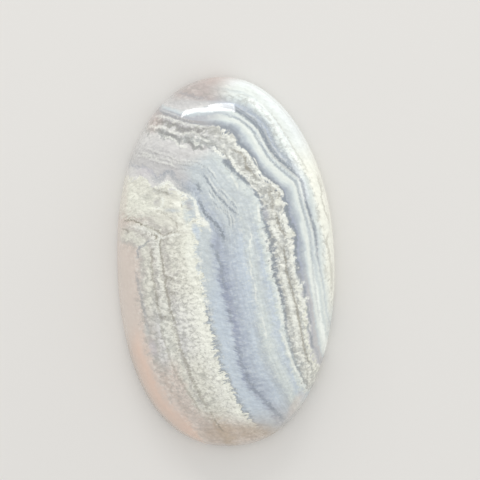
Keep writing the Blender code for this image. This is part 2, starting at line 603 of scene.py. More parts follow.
CORNER_LINES = (
    # The zigzag over the cream corner, the pale seam under it and the line beside them
    DARK.line(
        4.4, 0.4, (152, 176), (157.5, 181), (162.5, 178.5), (166, 173), (170, 172), (173.5, 178),
        (179, 183.5), (185, 189), (192.5, 189.5),
    ),
    PALE.line(
        2.4, 0.85, (157, 187), (163, 184), (168, 181.5), (173, 187), (180, 193), (189, 195.8), (194.5, 201),
        (196.6, 208), (198.7, 215), (206, 222), (210, 229),
    ),
    DARK.line(1.4, 0.45, (175, 186), (181, 190.7), (187, 193), (193, 196)),
    # Marks in the cream corner
    EARTH.line(1.8, 0.45, (152, 188.5), (157, 190.3), (163, 191.6), (169, 193.6)),
    PALE.line(1.9, 0.9, (161.5, 196.5), (163, 200), (162.6, 205), (159, 208), (153.5, 208.3)),
    EARTH.line(1.4, 0.5, (155.5, 211), (163, 213), (171, 218), (176, 223), (178, 228)),
    EARTH.line(2.0, 0.9, (181.2, 204.8), (182.2, 206)),
    # The hook at the corner and the bead above it
    DARK.line(
        2.8, 0.9, (199, 200), (201, 205), (204, 211), (206.5, 216), (210, 217.5), (213, 220), (216, 224),
        (219, 227.5), (222, 232), (223.5, 238), (223.3, 242),
    ),
    DARK.line(3.6, 0.8, (197, 184), (199, 187.5), (200.5, 191)),
    # Fine laminae across the corner, dark and pale by turns
    DARK.line(
        2.0, 0.75, (202, 173.5), (205.5, 177), (208.5, 182), (212, 187), (213.5, 191), (216, 194),
        (219, 197.5), (223, 201), (226, 204.5), (230, 208), (234, 212), (238, 214.5),
    ),
    PALE.line(
        1.3, 0.4, (205, 173), (208.5, 177), (211, 182), (214.5, 187), (217, 190.5), (221, 194),
        (224.5, 198.5), (228, 202), (232, 206), (236, 210.5), (240, 213),
    ),
    PALE.line(
        1.2, 0.35, (210, 187), (211.5, 191), (214.5, 195), (218.5, 200), (221, 204.5), (224, 207.5),
        (228, 210.5), (232, 214), (234, 219), (234, 226),
    ),
    DARK.line(
        1.3, 0.45, (213, 201.5), (216.5, 205.5), (220.5, 208.5), (224.5, 210), (229, 213.7), (231.7, 217),
        (232.6, 222), (233, 228),
    ),
    PALE.line(
        1.1, 0.35, (212, 203.5), (216, 207.5), (221, 210.5), (225.5, 212), (229.7, 216), (231, 221),
        (231, 228),
    ),
    DARK.line(1.3, 0.45, (223, 211.5), (226, 214), (228.5, 217), (229.3, 221), (229.5, 227)),
    DARK.line(
        1.5, 0.45, (217.5, 189.5), (222, 191.5), (225.5, 196), (229, 199.5), (232.5, 202), (235, 206.5),
        (238, 209.5),
    ),
    PALE.line(
        1.4, 0.4, (218.5, 187.5), (223.5, 190.5), (227.5, 195.5), (231.5, 199), (236, 203), (239, 208),
    ),
    DARK.line(1.3, 0.55, (209, 190.5), (211.5, 194.5), (215, 198.5)),
    PALE.line(1.1, 0.5, (208.5, 192.5), (211, 196.5), (214, 200.5)),
    DARK.line(1.1, 0.45, (207, 168.5), (210.5, 172), (214.5, 177), (217, 182)),
    PALE.line(1.1, 0.45, (208.5, 167), (212.5, 171.5), (216.5, 177.5)),
    # The inner side of the lace where it turns, and flecks by the hook
    DARK.line(4.2, 0.75, (225, 160), (228, 165), (232, 169), (236, 172.5)),
    DARK.line(3.4, 0.7, (236, 172.5), (241, 176.5), (245, 181), (248, 184.5)),
    PALE.line(3.0, 0.9, (213, 148), (216, 150), (220, 154), (225, 158)),
    PALE.line(2.0, 0.6, (231, 173), (233, 178), (237, 185), (238, 190)),
    PALE.line(2.2, 0.9, (208, 224), (209, 228), (211, 231)),
)

SHOULDER_LINES = (
    # The deep double line, the beaded line and the pale lines beside them
    DARK.line(
        3.0, 0.7, (238, 111), (245, 117), (251, 121.5), (257, 125.5), (260, 131), (263, 138), (268, 146.5),
        (274, 156), (281, 163), (289, 170.5), (296, 175), (300, 179), (303, 189), (304.5, 196),
        (305.5, 203), (308, 211), (311, 219), (313.5, 225), (315, 231), (316, 240),
    ),
    PALE.line(
        1.3, 0.25, (242, 109.5), (248, 113.5), (254, 118), (259, 121.5), (263.5, 127), (267, 136),
        (271, 144), (277, 152), (282, 158.5), (286, 162),
    ),
    DARK.line(
        3.4, 0.4, (240, 105), (247, 109.5), (255, 115.5), (262, 120.5), (268, 127.5), (272, 137),
        (275.5, 146), (281, 153), (287, 159), (293, 166), (298, 171),
    ),
    PALE.line(
        2.0, 0.45, (234, 113), (243, 119.5), (251, 125.5), (256.5, 129.5), (260, 137), (266, 147.5),
        (272, 155), (278, 161.5), (286, 168.5), (294, 175), (298.5, 180), (300, 187), (302, 194),
        (304, 203), (306.5, 211), (309, 219), (311, 226), (312.5, 233), (313, 245),
    ),
    DARK.line(
        2.2, 0.5, (226, 114.5), (235, 118), (242, 121.5), (247, 125.5), (253, 131.5), (256, 137.5),
        (259, 142.5), (262.5, 147), (265.5, 152.5), (268.5, 157.5), (273.5, 163), (279, 168), (285, 173),
        (291, 177.5), (296, 183), (298, 191), (300, 199), (302, 207), (304, 214), (306, 221), (308.5, 229),
    ),
    PALE.line(
        1.6, 0.3, (230, 119), (240, 123.5), (246, 128.5), (251.5, 135), (255, 142), (260, 150), (266, 159),
        (274, 167), (284, 176), (292, 182), (296.5, 191), (298.5, 200),
    ),
    DARK.line(
        1.6, 0.95, (257, 124), (262, 131), (265.5, 139), (269.5, 147), (276, 156.5), (284, 163.5),
        (291, 170), (298, 176.5),
    ),
    DARK.line(
        1.3, 0.7, (258, 121), (265, 130), (269, 140), (274, 150), (280.5, 158), (289, 165.5), (296, 172),
    ),
    # Thin and beaded lines near the right rim
    EARTH.line(1.3, 0.3, (268, 110), (276, 120), (283, 131), (292, 146), (300, 158), (308, 172)),
    EARTH.line(
        1.6, 0.4, (317, 175), (318.5, 181), (320.5, 187), (321.5, 193), (321.5, 199), (324, 206),
        (325.5, 213), (328, 218), (329.5, 225),
    ),
    EARTH.line(
        2.0, 0.4, (328.5, 233), (327, 239), (326.5, 244), (328.5, 249), (329.5, 257), (331, 268),
        (331.5, 282), (333, 300),
    ),
    # The pair of lines that goes on down the flank
    DARK.line(2.0, 0.3, (309, 232), (310.5, 245), (312, 262), (314, 282), (317, 302), (320, 322)),
    PALE.line(1.8, 0.4, (306, 232), (307.5, 246), (309, 262), (311, 280), (314, 300), (317, 320)),
)

LACE_LINES = (
    # The dark outer outline of the lace
    DARK.line(
        2.0, 0.8, (236, 138), (240, 143.5), (244, 147), (248.5, 151), (251, 155), (255, 163), (260.5, 170),
        (266, 176.5), (271, 180.5), (276, 184.5), (280, 188), (283.5, 192.5),
    ),
    DARK.line(4.0, 0.85, (284.5, 196), (285, 200), (287, 206), (286, 210), (287, 214)),
    DARK.line(2.8, 0.85, (287, 213), (288.5, 218), (290, 223), (293, 226.5), (296, 231)),
    DARK.line(
        2.2, 0.65, (296.5, 232), (296, 240), (295.5, 248), (295, 255), (297, 260), (297, 267), (296, 273),
        (298, 279), (301, 283.5), (304, 287), (305, 292), (304.5, 298), (307, 303), (308, 310), (309, 317),
        (310, 323), (307.5, 328), (310, 333), (311.5, 339), (312, 346), (313, 352),
    ),
    # Its pale outer ridge and the teeth on it
    PALE.line(
        2.4, 0.85, (236, 144), (241, 149), (246, 153.5), (250, 159), (254, 166), (258, 171), (263, 176.5),
        (269, 181), (275, 185.5), (280, 190), (283, 195),
    ),
    PALE.line(4.2, 0.8, (283, 213), (285, 219), (286, 225), (287, 229), (290, 234)),
    PALE.line(
        3.2, 0.6, (292, 243), (292, 252), (293, 262), (294, 271), (297, 279), (300, 288), (300.5, 297),
        (303, 304), (303, 313),
    ),
    PALE.line(2.0, 0.9, (283, 203.5), (287.5, 204)),
    PALE.line(2.0, 0.9, (293, 257.5), (297.5, 257.3)),
    PALE.line(2.2, 0.95, (300, 287), (302, 284), (304, 282)),
    PALE.line(2.2, 0.95, (303, 300), (306, 299), (309, 297.5)),
    # Its inner ridge, and the cracks and pits along its middle
    PALE.line(
        2.4, 0.8, (228, 154), (232, 160), (235, 166), (239, 171.5), (244, 175), (250, 178.5), (255, 181),
        (260, 184),
    ),
    EARTH.line(
        2.2, 0.6, (231, 149), (235, 151), (240, 153), (245, 158), (245, 163), (248, 168), (252, 173),
        (256, 177),
    ),
    EARTH.line(3.0, 0.7, (245, 166), (249, 169)),
    DARK.line(2.6, 0.7, (255, 192), (257, 196), (260, 197), (264, 196)),
    EARTH.line(3.2, 0.5, (269, 189), (270, 194), (272, 199), (272.5, 205), (273.5, 210)),
    EARTH.line(1.8, 0.5, (270, 186), (274, 189.5), (279, 192.5), (279, 197), (276, 199)),
    EARTH.line(2.2, 0.55, (276, 214), (277, 219), (279, 225), (281, 230), (284, 233), (285, 238)),
    EARTH.line(
        2.0, 0.6, (284, 244), (284, 252), (285, 257), (286, 263), (286, 270), (288, 276), (289.5, 282),
        (291.5, 288), (293, 294), (294.5, 301), (297, 308), (298, 316), (299.5, 323), (301, 330),
        (302, 336), (303, 343), (304.5, 350), (307, 357), (309, 364),
    ),
    # Its dark inner outline, and the white fringes over the blue
    DARK.line(2.0, 0.55, (268, 205), (263, 208), (261, 213), (262, 219), (266, 224)),
    DARK.line(2.6, 0.65, (266.5, 224), (267, 230), (269, 235.5), (272, 239), (277, 240.5)),
    DARK.line(
        2.6, 0.55, (271, 241), (270.5, 247), (271.5, 253), (274, 259), (273.5, 266), (275, 274),
        (276.5, 281), (278.5, 287), (280, 291), (281.5, 298), (283, 304), (284, 310), (285.5, 316),
        (286, 323), (286, 330), (288, 338), (289.5, 345), (292, 353), (294.5, 361), (297, 368), (301, 376),
        (304, 384),
    ),
    PALE.line(
        2.2, 0.65, (280, 331), (284, 338), (286, 344), (288.5, 352), (291.5, 360), (294.5, 367),
        (298.5, 374), (302, 381), (303.5, 387),
    ),
    PALE.line(2.2, 0.7, (258, 205), (258.5, 210), (259, 216), (260, 223)),
    PALE.line(2.4, 0.7, (264, 234), (265, 238), (268.5, 240.5), (267, 246), (268, 252)),
    PALE.line(2.2, 0.6, (268.5, 257), (270, 263), (270, 269), (269.5, 274)),
    PALE.line(2.2, 0.5, (277, 290), (278.5, 297), (280, 311), (282, 318), (281.5, 326)),
    PALE.line(3.6, 0.6, (272, 225), (274, 231), (276.5, 236), (280, 238)),
    PALE.line(
        3.4, 0.6, (283, 273), (284.5, 282), (288, 292), (290, 300), (291, 309), (294, 317), (295, 326),
        (297, 334), (297.5, 343), (299, 351),
    ),
)

GRAIN_LINES = (
    # The crack above the grain, its forks and the bright lines under it
    EARTH.line(
        1.5, 0.9, (122, 222), (127, 220.5), (131, 219.5), (137, 222), (143, 225), (149, 227.3), (154, 229),
        (158, 231.5), (161, 234.3), (164, 235.5), (170, 233.5), (176, 232.3), (179, 231.5),
    ),
    PALE.line(
        1.8, 0.8, (144, 227), (150, 230), (155.5, 233), (160, 236.5), (163, 238), (168, 236), (175, 234.5),
        (182, 235),
    ),
    PALE.line(1.6, 0.6, (161, 237), (158.5, 241), (158.5, 249), (160, 257)),
    EARTH.line(1.5, 0.8, (145.5, 228.8), (151, 231.5), (155, 234.5), (156.8, 236)),
    EARTH.line(2.8, 0.9, (156, 234.5), (157, 236.3), (155.6, 238.6)),
    EARTH.line(1.5, 0.55, (139, 236), (145, 234.3), (149, 235), (152.5, 237)),
    EARTH.line(1.8, 0.6, (121.5, 229), (125, 229.7), (129, 232)),
    # The seams that run down the grain, with their ledges and pockets
    DARK.line(
        2.0, 0.55, (149.5, 240), (147, 243), (142.5, 246), (138.5, 248.5), (137.5, 252), (138.5, 255.5),
        (136.5, 258),
    ),
    EARTH.line(
        2.2, 0.6, (168, 239.5), (163, 239.5), (160, 242), (159.7, 248), (161, 255), (162.5, 261),
        (163.3, 268), (164, 274), (167, 277.5), (165, 281), (165.5, 287), (167, 293), (168.5, 299),
        (169.5, 305), (171, 312), (173, 317), (174.5, 322), (176, 328),
    ),
    EARTH.line(2.4, 0.55, (166, 277), (170, 278), (174, 279)),
    EARTH.line(3.0, 0.5, (166, 294), (171, 293.5), (175, 294)),
    EARTH.line(
        3.0, 0.45, (176, 328), (177.5, 334), (178.5, 340), (180, 347), (181.5, 353), (184, 358), (186, 363),
        (188.5, 369), (190, 376), (194, 383), (198, 391), (203, 400), (208, 408),
    ),
    EARTH.line(1.8, 0.5, (208, 408), (214, 418), (218, 425), (223, 431)),
    EARTH.line(
        2.2, 0.45, (148, 250.5), (152.5, 249.5), (151, 255), (152.5, 259), (151, 263.5), (152.3, 269),
        (152.5, 274), (152.7, 279), (154.5, 283), (154.5, 289), (156.5, 294), (157, 301), (157.5, 307),
        (159.5, 312), (161, 317),
    ),
    EARTH.line(3.0, 0.6, (160, 314), (162, 318), (166, 318.5)),
    EARTH.line(
        2.4, 0.35, (161.5, 322), (162, 329), (163, 337), (166, 345), (168, 352), (171, 361), (175, 371),
        (181, 381), (188, 392), (195, 403), (201, 413),
    ),
    DARK.line(
        2.6, 0.35, (136.5, 273), (137.5, 281), (139, 289), (141.5, 297), (143, 306), (145, 314), (147, 325),
        (149, 333),
    ),
    # Teeth of the cream edge
    PALE.line(2.2, 0.8, (194, 257), (200, 258.5), (201.5, 262)),
    PALE.line(3.4, 0.8, (201, 299), (206, 300), (208, 302)),
)

BLUE_LINES = (
    # Pale flecks in the blue
    PALE.line(1.5, 0.6, (250, 232), (251.5, 237), (250, 242), (251, 248)),
    PALE.line(1.5, 0.6, (249.5, 260), (251.5, 266), (250.5, 272), (253, 279)),
    PALE.line(1.5, 0.5, (254, 283), (256, 290), (255.5, 297), (258, 304)),
    PALE.line(1.7, 0.45, (262, 317), (264, 325), (266, 332), (266, 339)),
    # The feathers of the dark streak, from its head to its foot
    DARK.line(3.4, 0.55, (210.5, 245), (213.5, 247)),
    DARK.line(3.0, 0.5, (214, 250), (217, 253), (217.5, 258)),
    DARK.line(2.6, 0.4, (218, 260), (221, 265), (222.5, 270), (219.5, 275)),
    DARK.line(2.6, 0.45, (223, 275), (223, 280), (224, 285), (227, 290)),
    DARK.line(2.6, 0.4, (228, 308), (230, 314), (231, 320), (233, 326)),
    DARK.line(2.8, 0.4, (232, 347), (238, 349), (241, 354), (241, 363), (245, 369)),
    DARK.line(3.2, 0.45, (247, 372), (246.5, 378), (249, 383), (255, 386)),
    DARK.line(
        3.4, 0.5, (249, 387), (254, 390), (259, 394), (264, 400), (269, 405), (274, 410.5), (279, 415),
        (283, 419),
    ),
)

FINE_LINES = ARM_LINES + CORNER_LINES + SHOULDER_LINES + LACE_LINES + GRAIN_LINES + BLUE_LINES


@dataclass(frozen=True)
class SoftPatch:
    """A cloud of another colour in the stone, in pixels of the photograph."""

    centre_px: Point
    reach_px: Point
    turn_deg: float
    tint: Tint
    strength: float


SOFT_PATCHES = (
    # Smears, blots and lumps in the cream corner
    SoftPatch((162, 192.5), (14.0, 3.4), 14.0, Tint.GAP, 0.6),
    SoftPatch((170, 197.5), (9.0, 4.0), 14.0, Tint.OAT, 0.8),
    SoftPatch((147.5, 197), (6.5, 4.5), 5.0, Tint.GAP, 0.4),
    SoftPatch((157, 202.5), (4.4, 4.6), 0.0, Tint.ASH, 0.6),
    SoftPatch((178.5, 204), (6.0, 4.2), 10.0, Tint.RIM_CREAM, 1.0),
    SoftPatch((189, 205), (3.6, 6.5), -22.0, Tint.VIOLET_GREY, 0.75),
    SoftPatch((172, 210.5), (10.0, 2.2), 3.0, Tint.CLOUD, 0.7),
    SoftPatch((186, 216), (3.4, 9.5), -8.0, Tint.MIST, 0.75),
    SoftPatch((196.5, 231), (4.5, 9.0), -25.0, Tint.SKY, 0.9),
    SoftPatch((165, 221), (14.0, 7.5), 20.0, Tint.OAT, 0.75),
    SoftPatch((180, 220), (3.0, 4.5), -20.0, Tint.RIM_CREAM, 0.8),
    SoftPatch((186.5, 229), (6.5, 3.5), 35.0, Tint.RIM_CREAM, 0.8),
    SoftPatch((197.5, 214), (2.6, 11.0), -16.0, Tint.RIM_CREAM, 0.9),
    SoftPatch((204, 223.5), (6.0, 3.6), 42.0, Tint.RIM_CREAM, 0.9),
    # The bright side of the cream edge
    SoftPatch((191, 262), (5.5, 28.0), -6.0, Tint.RIM_CREAM, 0.7),
    SoftPatch((203.5, 325), (5.0, 38.0), -14.0, Tint.RIM_CREAM, 0.45),
    # The left end of the arm, and the head of the dark streak
    # Rose grey at the arm's left end: partly the stone's own colour, partly painted warm reflected light
    SoftPatch((153, 122), (11.0, 13.0), 30.0, Tint.ROSE_GREY, 0.45),
    SoftPatch((216, 243), (7.0, 11.0), -5.0, Tint.LAVENDER, 0.5),
    SoftPatch((145, 172), (9.0, 5.0), 10.0, Tint.MAUVE, 0.5),
    SoftPatch((180, 176), (12.0, 6.0), 10.0, Tint.PUTTY, 0.5),
    # Pools and steps beside the lace
    SoftPatch((226, 162), (3.5, 6.0), -35.0, Tint.SLATE, 0.8),
    SoftPatch((266, 215), (3.6, 8.5), -10.0, Tint.VIOLET_GREY, 0.7),
    SoftPatch((277.5, 203), (3.6, 5.0), -10.0, Tint.CREAM, 0.8),
    SoftPatch((290.5, 233), (4.5, 4.0), 0.0, Tint.CREAM, 0.9),
    SoftPatch((243.5, 186), (4.5, 3.5), 20.0, Tint.PEARL, 0.8),
    # The left rim, and pockets and clumps in the grain
    # Along the left rim: partly the stone's own warm band, partly painted warm light shining through the rim
    SoftPatch((121, 208), (7.0, 36.0), 6.0, Tint.SAND, 0.5),
    SoftPatch((172, 294.5), (5.5, 2.2), 0.0, Tint.ASH, 0.55),
    SoftPatch((163, 317), (3.4, 3.2), 0.0, Tint.ASH, 0.6),
    SoftPatch((165, 307), (3.8, 8.0), -8.0, Tint.LACE_WHITE, 0.5),
    SoftPatch((153, 348), (4.5, 11.0), -15.0, Tint.MAUVE, 0.5),
    SoftPatch((146.5, 331), (3.0, 8.0), -12.0, Tint.LACE_GREY, 0.6),
    # Painted shade and warm reflected light along the foot, and painted warm reflected light on the lower
    # right side
    SoftPatch((235, 432), (40.0, 9.0), -3.0, Tint.UMBER, 0.6),
    SoftPatch((296, 404), (5.0, 18.0), 30.0, Tint.SAND, 0.5),
)


@dataclass(frozen=True)
class GrowthMap:
    """Turns places in the stone into the smooth fields that its material reads."""

    shape: GroundShape
    view: PhotoView
    path_step_px: float = 3.0
    least_gap_px: float = 0.6
    # Angles round the pivot tell how far past its bend a place of a band lies.
    pivot_px: Point = (100.0, 460.0)
    # How far a band moves across and along the stone in a millimetre of depth
    dip: Point = (-0.25, -0.12)
    # Where fronts crowd together, the pace is held down, so that ragged edges stay small.
    most_pace_per_mm: float = 2.5
    # A line's field reaches so many widths from its middle, and at least so many pixels.
    reach_per_width: float = 1.3
    least_reach_px: float = 2.0
    # A line swells over its first part and thins out over its last, as shares of its length.
    swell: Point = (-0.1, 0.12)
    thin_out: Point = (0.88, 1.1)
    waver_step_px: float = 1.5
    waver_length_px: float = 7.0
    waver_reach_px: float = 0.28
    quick_waver_share: float = 0.6
    quick_waver_rate: float = 1.73
    # Fine lines fade out down the wall, which the photograph shows nearly edge-on.
    line_fade_mm: Point = (0.5, 1.7)
    # A patch fades out over this span of its reach.
    patch_edge: Point = (0.35, 1.25)
    least_weight: float = 1e-6
    # The way along the bands is measured from the fold, where they bend. Outside the cream edge it
    # is evened out there, the more the further out a front lies.
    fold_px: tuple[Point, ...] = ((90, 275), (147, 241), (206, 228), (320, 114))
    cream_front: int = 12
    bend_fan: float = 0.6

    def photo_places(self, points_mm: np.ndarray) -> np.ndarray:
        """Finds the pixel whose bands each place of the stone carries.

        The bands go down into the stone, leaning a little, so the wall and the back carry the
        bands of the dome above them.

        Args:
            points_mm: Points on the stone, one to a row.

        Returns:
            Pixels of the photograph, one to a row.
        """
        angle = np.arctan2(points_mm[:, 1], points_mm[:, 0])
        turn = turns(self.shape.outline_samples)
        rim = reach_of_polygon(self.shape.ring(turn, self.shape.wall_inset), angle)
        height = self.shape.dome_height(np.hypot(points_mm[:, 0], points_mm[:, 1]) / rim)
        depth = np.maximum(height - points_mm[:, 2], 0.0)
        aside = points_mm[:, :2] + depth[:, None] * np.array(self.dip)
        return self.view.to_pixels(np.column_stack([aside, height]))

    def fields(self, points_mm: np.ndarray) -> dict[str, np.ndarray]:
        """Works out every field.

        Args:
            points_mm: Points on the stone, one to a row.

        Returns:
            The value of each named field at each point.
        """
        places = self.photo_places(points_mm)
        fold = smooth_path(self.fold_px, self.path_step_px)
        distances = []
        runs = []
        for front in GROWTH_FRONTS:
            path = smooth_path(front.path_px, self.path_step_px)
            distance, run = nearest_on_path(places, path)
            off_fold, _ = nearest_on_path(path, fold)
            crossing = path[np.argmin(np.abs(off_fold))]
            _, fold_run = nearest_on_path(crossing[None, :], path)
            if distances:
                distance = np.minimum(distance, distances[-1] - self.least_gap_px)
            distances.append(distance)
            length = np.linalg.norm(np.diff(path, axis=0), axis=1).sum()
            runs.append((run - fold_run) * length / self.view.px_per_mm)
        distances = np.array(distances)
        gaps = distances[:-1] - distances[1:]
        growth = np.clip(distances[:-1] / gaps, 0.0, 1.0).sum(axis=0)
        depth = self.depth_of_fronts(gaps)
        return {
            "growth": growth,
            "pace": self.pace(growth, gaps),
            "past_bend": self.past_bend(growth, places),
            "along": self.between_fronts(growth, self.fanned(np.array(runs), depth)),
            "across": np.interp(growth, np.arange(len(depth)), depth),
            **self.line_fields(places, smoothstep(*self.line_fade_mm, points_mm[:, 2])),
            **self.patch_fields(places),
        }

    def swing(self, places: np.ndarray) -> np.ndarray:
        """The angle round the pivot, in degrees from straight up, that tells how far along a band is."""
        offset = places - np.array(self.pivot_px)
        return np.degrees(np.arctan2(offset[:, 0], -offset[:, 1]))

    def past_bend(self, growth: np.ndarray, places: np.ndarray) -> np.ndarray:
        """How far past its band's bend each place lies, in degrees: below zero on the arm."""
        bends = self.swing(np.array([front.bend_px for front in GROWTH_FRONTS], dtype=float))
        return self.swing(places) - np.interp(growth, np.arange(len(bends)), bends)

    def pace(self, growth: np.ndarray, gaps: np.ndarray) -> np.ndarray:
        """Finds how many fronts go by in a millimetre across the bands.

        Args:
            growth: The growth value of each place.
            gaps: The pixels between each front and the next, one pair to a row.

        Returns:
            The pace at each place.
        """
        per_mm = self.view.px_per_mm / gaps
        at_fronts = np.vstack([per_mm[:1], (per_mm[:-1] + per_mm[1:]) / 2.0, per_mm[-1:]])
        return self.between_fronts(growth, np.minimum(at_fronts, self.most_pace_per_mm))

    def between_fronts(self, growth: np.ndarray, at_fronts: np.ndarray) -> np.ndarray:
        """Blends values that are known at every front to each place's growth.

        Args:
            growth: The growth value of each place.
            at_fronts: The values at the fronts, one front to a row.

        Returns:
            The value at each place.
        """
        below = np.clip(np.floor(growth).astype(int), 0, len(at_fronts) - 2)
        share = growth - below
        columns = np.arange(len(growth))
        return at_fronts[below, columns] * (1.0 - share) + at_fronts[below + 1, columns] * share

    def depth_of_fronts(self, gaps: np.ndarray) -> np.ndarray:
        """How many millimetres of stone typically lie between the first front and each one."""
        typical = np.median(gaps, axis=1) / self.view.px_per_mm
        return np.concatenate([[0.0], np.cumsum(typical)])

    def fanned(self, runs: np.ndarray, depth: np.ndarray) -> np.ndarray:
        """Evens out the runs along the fronts, as the outer ones go round the bend on a wider turn."""
        fan = (self.bend_fan * np.maximum(depth[self.cream_front] - depth, 0.0))[:, None]
        return np.sign(runs) * (np.sqrt(runs**2 + fan**2) - fan)

    def line_fields(self, places: np.ndarray, showing: np.ndarray) -> dict[str, np.ndarray]:
        """Finds how near the middle of a fine line each place is, and how strongly that line shows.

        Args:
            places: The places in pixels of the photograph, one to a row.
            showing: The share of its strength that a line keeps at each place.

        Returns:
            The two fields of each kind of line.
        """
        fields = {}
        for shade in Shade:
            fields[shade.field_name] = np.zeros(len(places))
            fields[shade.strength_name] = np.zeros(len(places))
        for line in FINE_LINES:
            nearness = fields[line.shade.field_name]
            strength = fields[line.shade.strength_name]
            path = self.wavered(smooth_path(line.path_px, self.waver_step_px))
            reach = max(self.reach_per_width * line.width_px, self.least_reach_px)
            low, high = path.min(axis=0) - reach, path.max(axis=0) + reach
            near = np.flatnonzero(np.all((places > low) & (places < high), axis=1))
            distance, along = nearest_on_path(places[near], path)
            value = np.clip(1.0 - np.abs(distance) / reach, 0.0, 1.0)
            taper = smoothstep(*self.swell, along) * (1.0 - smoothstep(*self.thin_out, along))
            closer = value > nearness[near]
            strength[near[closer]] = (line.strength * taper * showing[near])[closer]
            nearness[near] = np.maximum(nearness[near], value)
        return fields

    def wavered(self, path: np.ndarray) -> np.ndarray:
        """Lets a path waver a little to either side of its course, as fine growth lines do.

        Args:
            path: The path's points, one to a row.

        Returns:
            The points of the wavering path.
        """
        run = np.concatenate([[0.0], np.cumsum(np.linalg.norm(np.diff(path, axis=0), axis=1))])
        course = np.gradient(path, axis=0)
        aside = np.column_stack([-course[:, 1], course[:, 0]]) / np.linalg.norm(course, axis=1)[:, None]
        turn = math.tau * (run + path[0].sum()) / self.waver_length_px
        quick = self.quick_waver_share * np.sin(self.quick_waver_rate * turn)
        return path + (self.waver_reach_px * (np.sin(turn) + quick))[:, None] * aside

    def patch_fields(self, places: np.ndarray) -> dict[str, np.ndarray]:
        """Finds the colour of the soft patches, and the share of it that shows.

        Args:
            places: The places in pixels of the photograph, one to a row.

        Returns:
            The colour and the share at each place.
        """
        colour = np.zeros((len(places), 4))
        total = np.full(len(places), self.least_weight)
        bare = np.ones(len(places))
        for patch in SOFT_PATCHES:
            turn = math.radians(patch.turn_deg)
            offset = places - np.array(patch.centre_px)
            across = (offset[:, 0] * math.cos(turn) + offset[:, 1] * math.sin(turn)) / patch.reach_px[0]
            down = (offset[:, 1] * math.cos(turn) - offset[:, 0] * math.sin(turn)) / patch.reach_px[1]
            weight = patch.strength * (1.0 - smoothstep(*self.patch_edge, np.hypot(across, down)))
            colour += weight[:, None] * np.array(linear(patch.tint.value))
            total += weight
            bare *= 1.0 - weight
        return {"patch_tint": colour / total[:, None], "patch_share": 1.0 - bare}


@dataclass(frozen=True)
class BandSection:
    """The stone's colours from band to band, as a line drawn across the growth fronts meets them.

    Each stop is a growth value, where front 0 is outside the right rim and each front inwards
    counts one more, and the tint there. The outer stops serve up to the split inside the lace,
    and the inner ones serve beyond it.
    """

    outer: Stops
    inner: Stops


# In every section, the blush stops at the last fronts, along the left rim, are partly the stone's own warm
# band and partly painted warm light shining through the rim.
ARM_SECTION = BandSection(
    outer=(
        # The rose-grey and taupe first stops, along the upper left rim, are partly painted shade and warm
        # reflected light.
        (0.4, Tint.ROSE_GREY), (1.0, Tint.TAUPE), (2.05, Tint.TAUPE), (2.5, Tint.PUTTY), (3.0, Tint.CHALK),
        (3.5, Tint.FOG), (3.85, Tint.CLOUD), (4.2, Tint.VIOLET_GREY), (5.4, Tint.VIOLET_GREY),
        (5.65, Tint.ASH), (6.35, Tint.ASH), (6.6, Tint.PUTTY), (6.85, Tint.PUTTY), (7.15, Tint.ASH),
        (7.5, Tint.GAP), (7.75, Tint.PUTTY), (8.0, Tint.CHALK), (8.3, Tint.LACE_SHADE),
    ),
    inner=(
        (8.95, Tint.LACE_SHADE), (9.02, Tint.CHALK), (9.5, Tint.CHALK), (9.62, Tint.PUTTY),
        (9.7, Tint.CHALK), (9.85, Tint.PUTTY), (10.05, Tint.PUTTY), (10.2, Tint.CHALK), (10.35, Tint.PUTTY),
        (10.9, Tint.PUTTY), (11.1, Tint.VIOLET_GREY), (11.4, Tint.CHALK), (11.9, Tint.CHALK),
        (12.0, Tint.CREAM), (12.1, Tint.OAT), (12.5, Tint.CREAM), (12.8, Tint.OAT), (13.0, Tint.DUN),
        (13.4, Tint.SAND), (15.0, Tint.SAND), (16.0, Tint.BLUSH),
    ),
)

SHOULDER_SECTION = BandSection(
    outer=(
        # The first stop is painted sheen along the rim.
        (0.7, Tint.RIM_SHEEN), (0.9, Tint.PEARL), (0.99, Tint.PEARL), (1.03, Tint.MIST), (1.3, Tint.PEARL),
        (1.6, Tint.GREEN_WHITE), (1.95, Tint.CLOUD), (2.2, Tint.HAZE), (2.45, Tint.HAZE), (2.6, Tint.STEEL),
        (2.78, Tint.SLATE), (2.9, Tint.STEEL), (3.03, Tint.SLATE), (3.17, Tint.SLATE), (3.38, Tint.MIST),
        (3.6, Tint.MIST), (3.85, Tint.FOG), (4.0, Tint.CLOUD), (4.12, Tint.MIST), (4.4, Tint.PEARL),
        (4.8, Tint.PEARL), (5.2, Tint.MIST), (5.5, Tint.CLOUD), (5.8, Tint.STEEL), (6.3, Tint.SLATE),
        (6.85, Tint.SLATE), (7.02, Tint.LACE_WHITE), (7.25, Tint.LACE_WHITE), (7.6, Tint.LACE_GREY),
    ),
    inner=(
        (8.5, Tint.LACE_GREY), (8.65, Tint.LACE_WHITE), (8.8, Tint.SLATE), (8.97, Tint.STEEL),
        (9.1, Tint.MIST), (9.25, Tint.MIST), (9.5, Tint.FOG), (9.9, Tint.FOG), (10.0, Tint.CLOUD),
        (10.15, Tint.CLOUD), (10.4, Tint.FOG), (10.6, Tint.CLOUD), (10.85, Tint.HAZE), (11.05, Tint.STEEL),
        (11.2, Tint.HAZE), (11.45, Tint.FOG), (11.95, Tint.FOG), (12.05, Tint.CREAM), (12.2, Tint.CREAM),
        (12.4, Tint.OAT), (12.6, Tint.OAT), (12.9, Tint.FLINT), (13.1, Tint.OAT), (13.4, Tint.CROWN),
        (13.8, Tint.FLINT), (14.1, Tint.OAT), (14.4, Tint.OAT), (14.7, Tint.FLINT), (15.0, Tint.SAND),
    ),
)

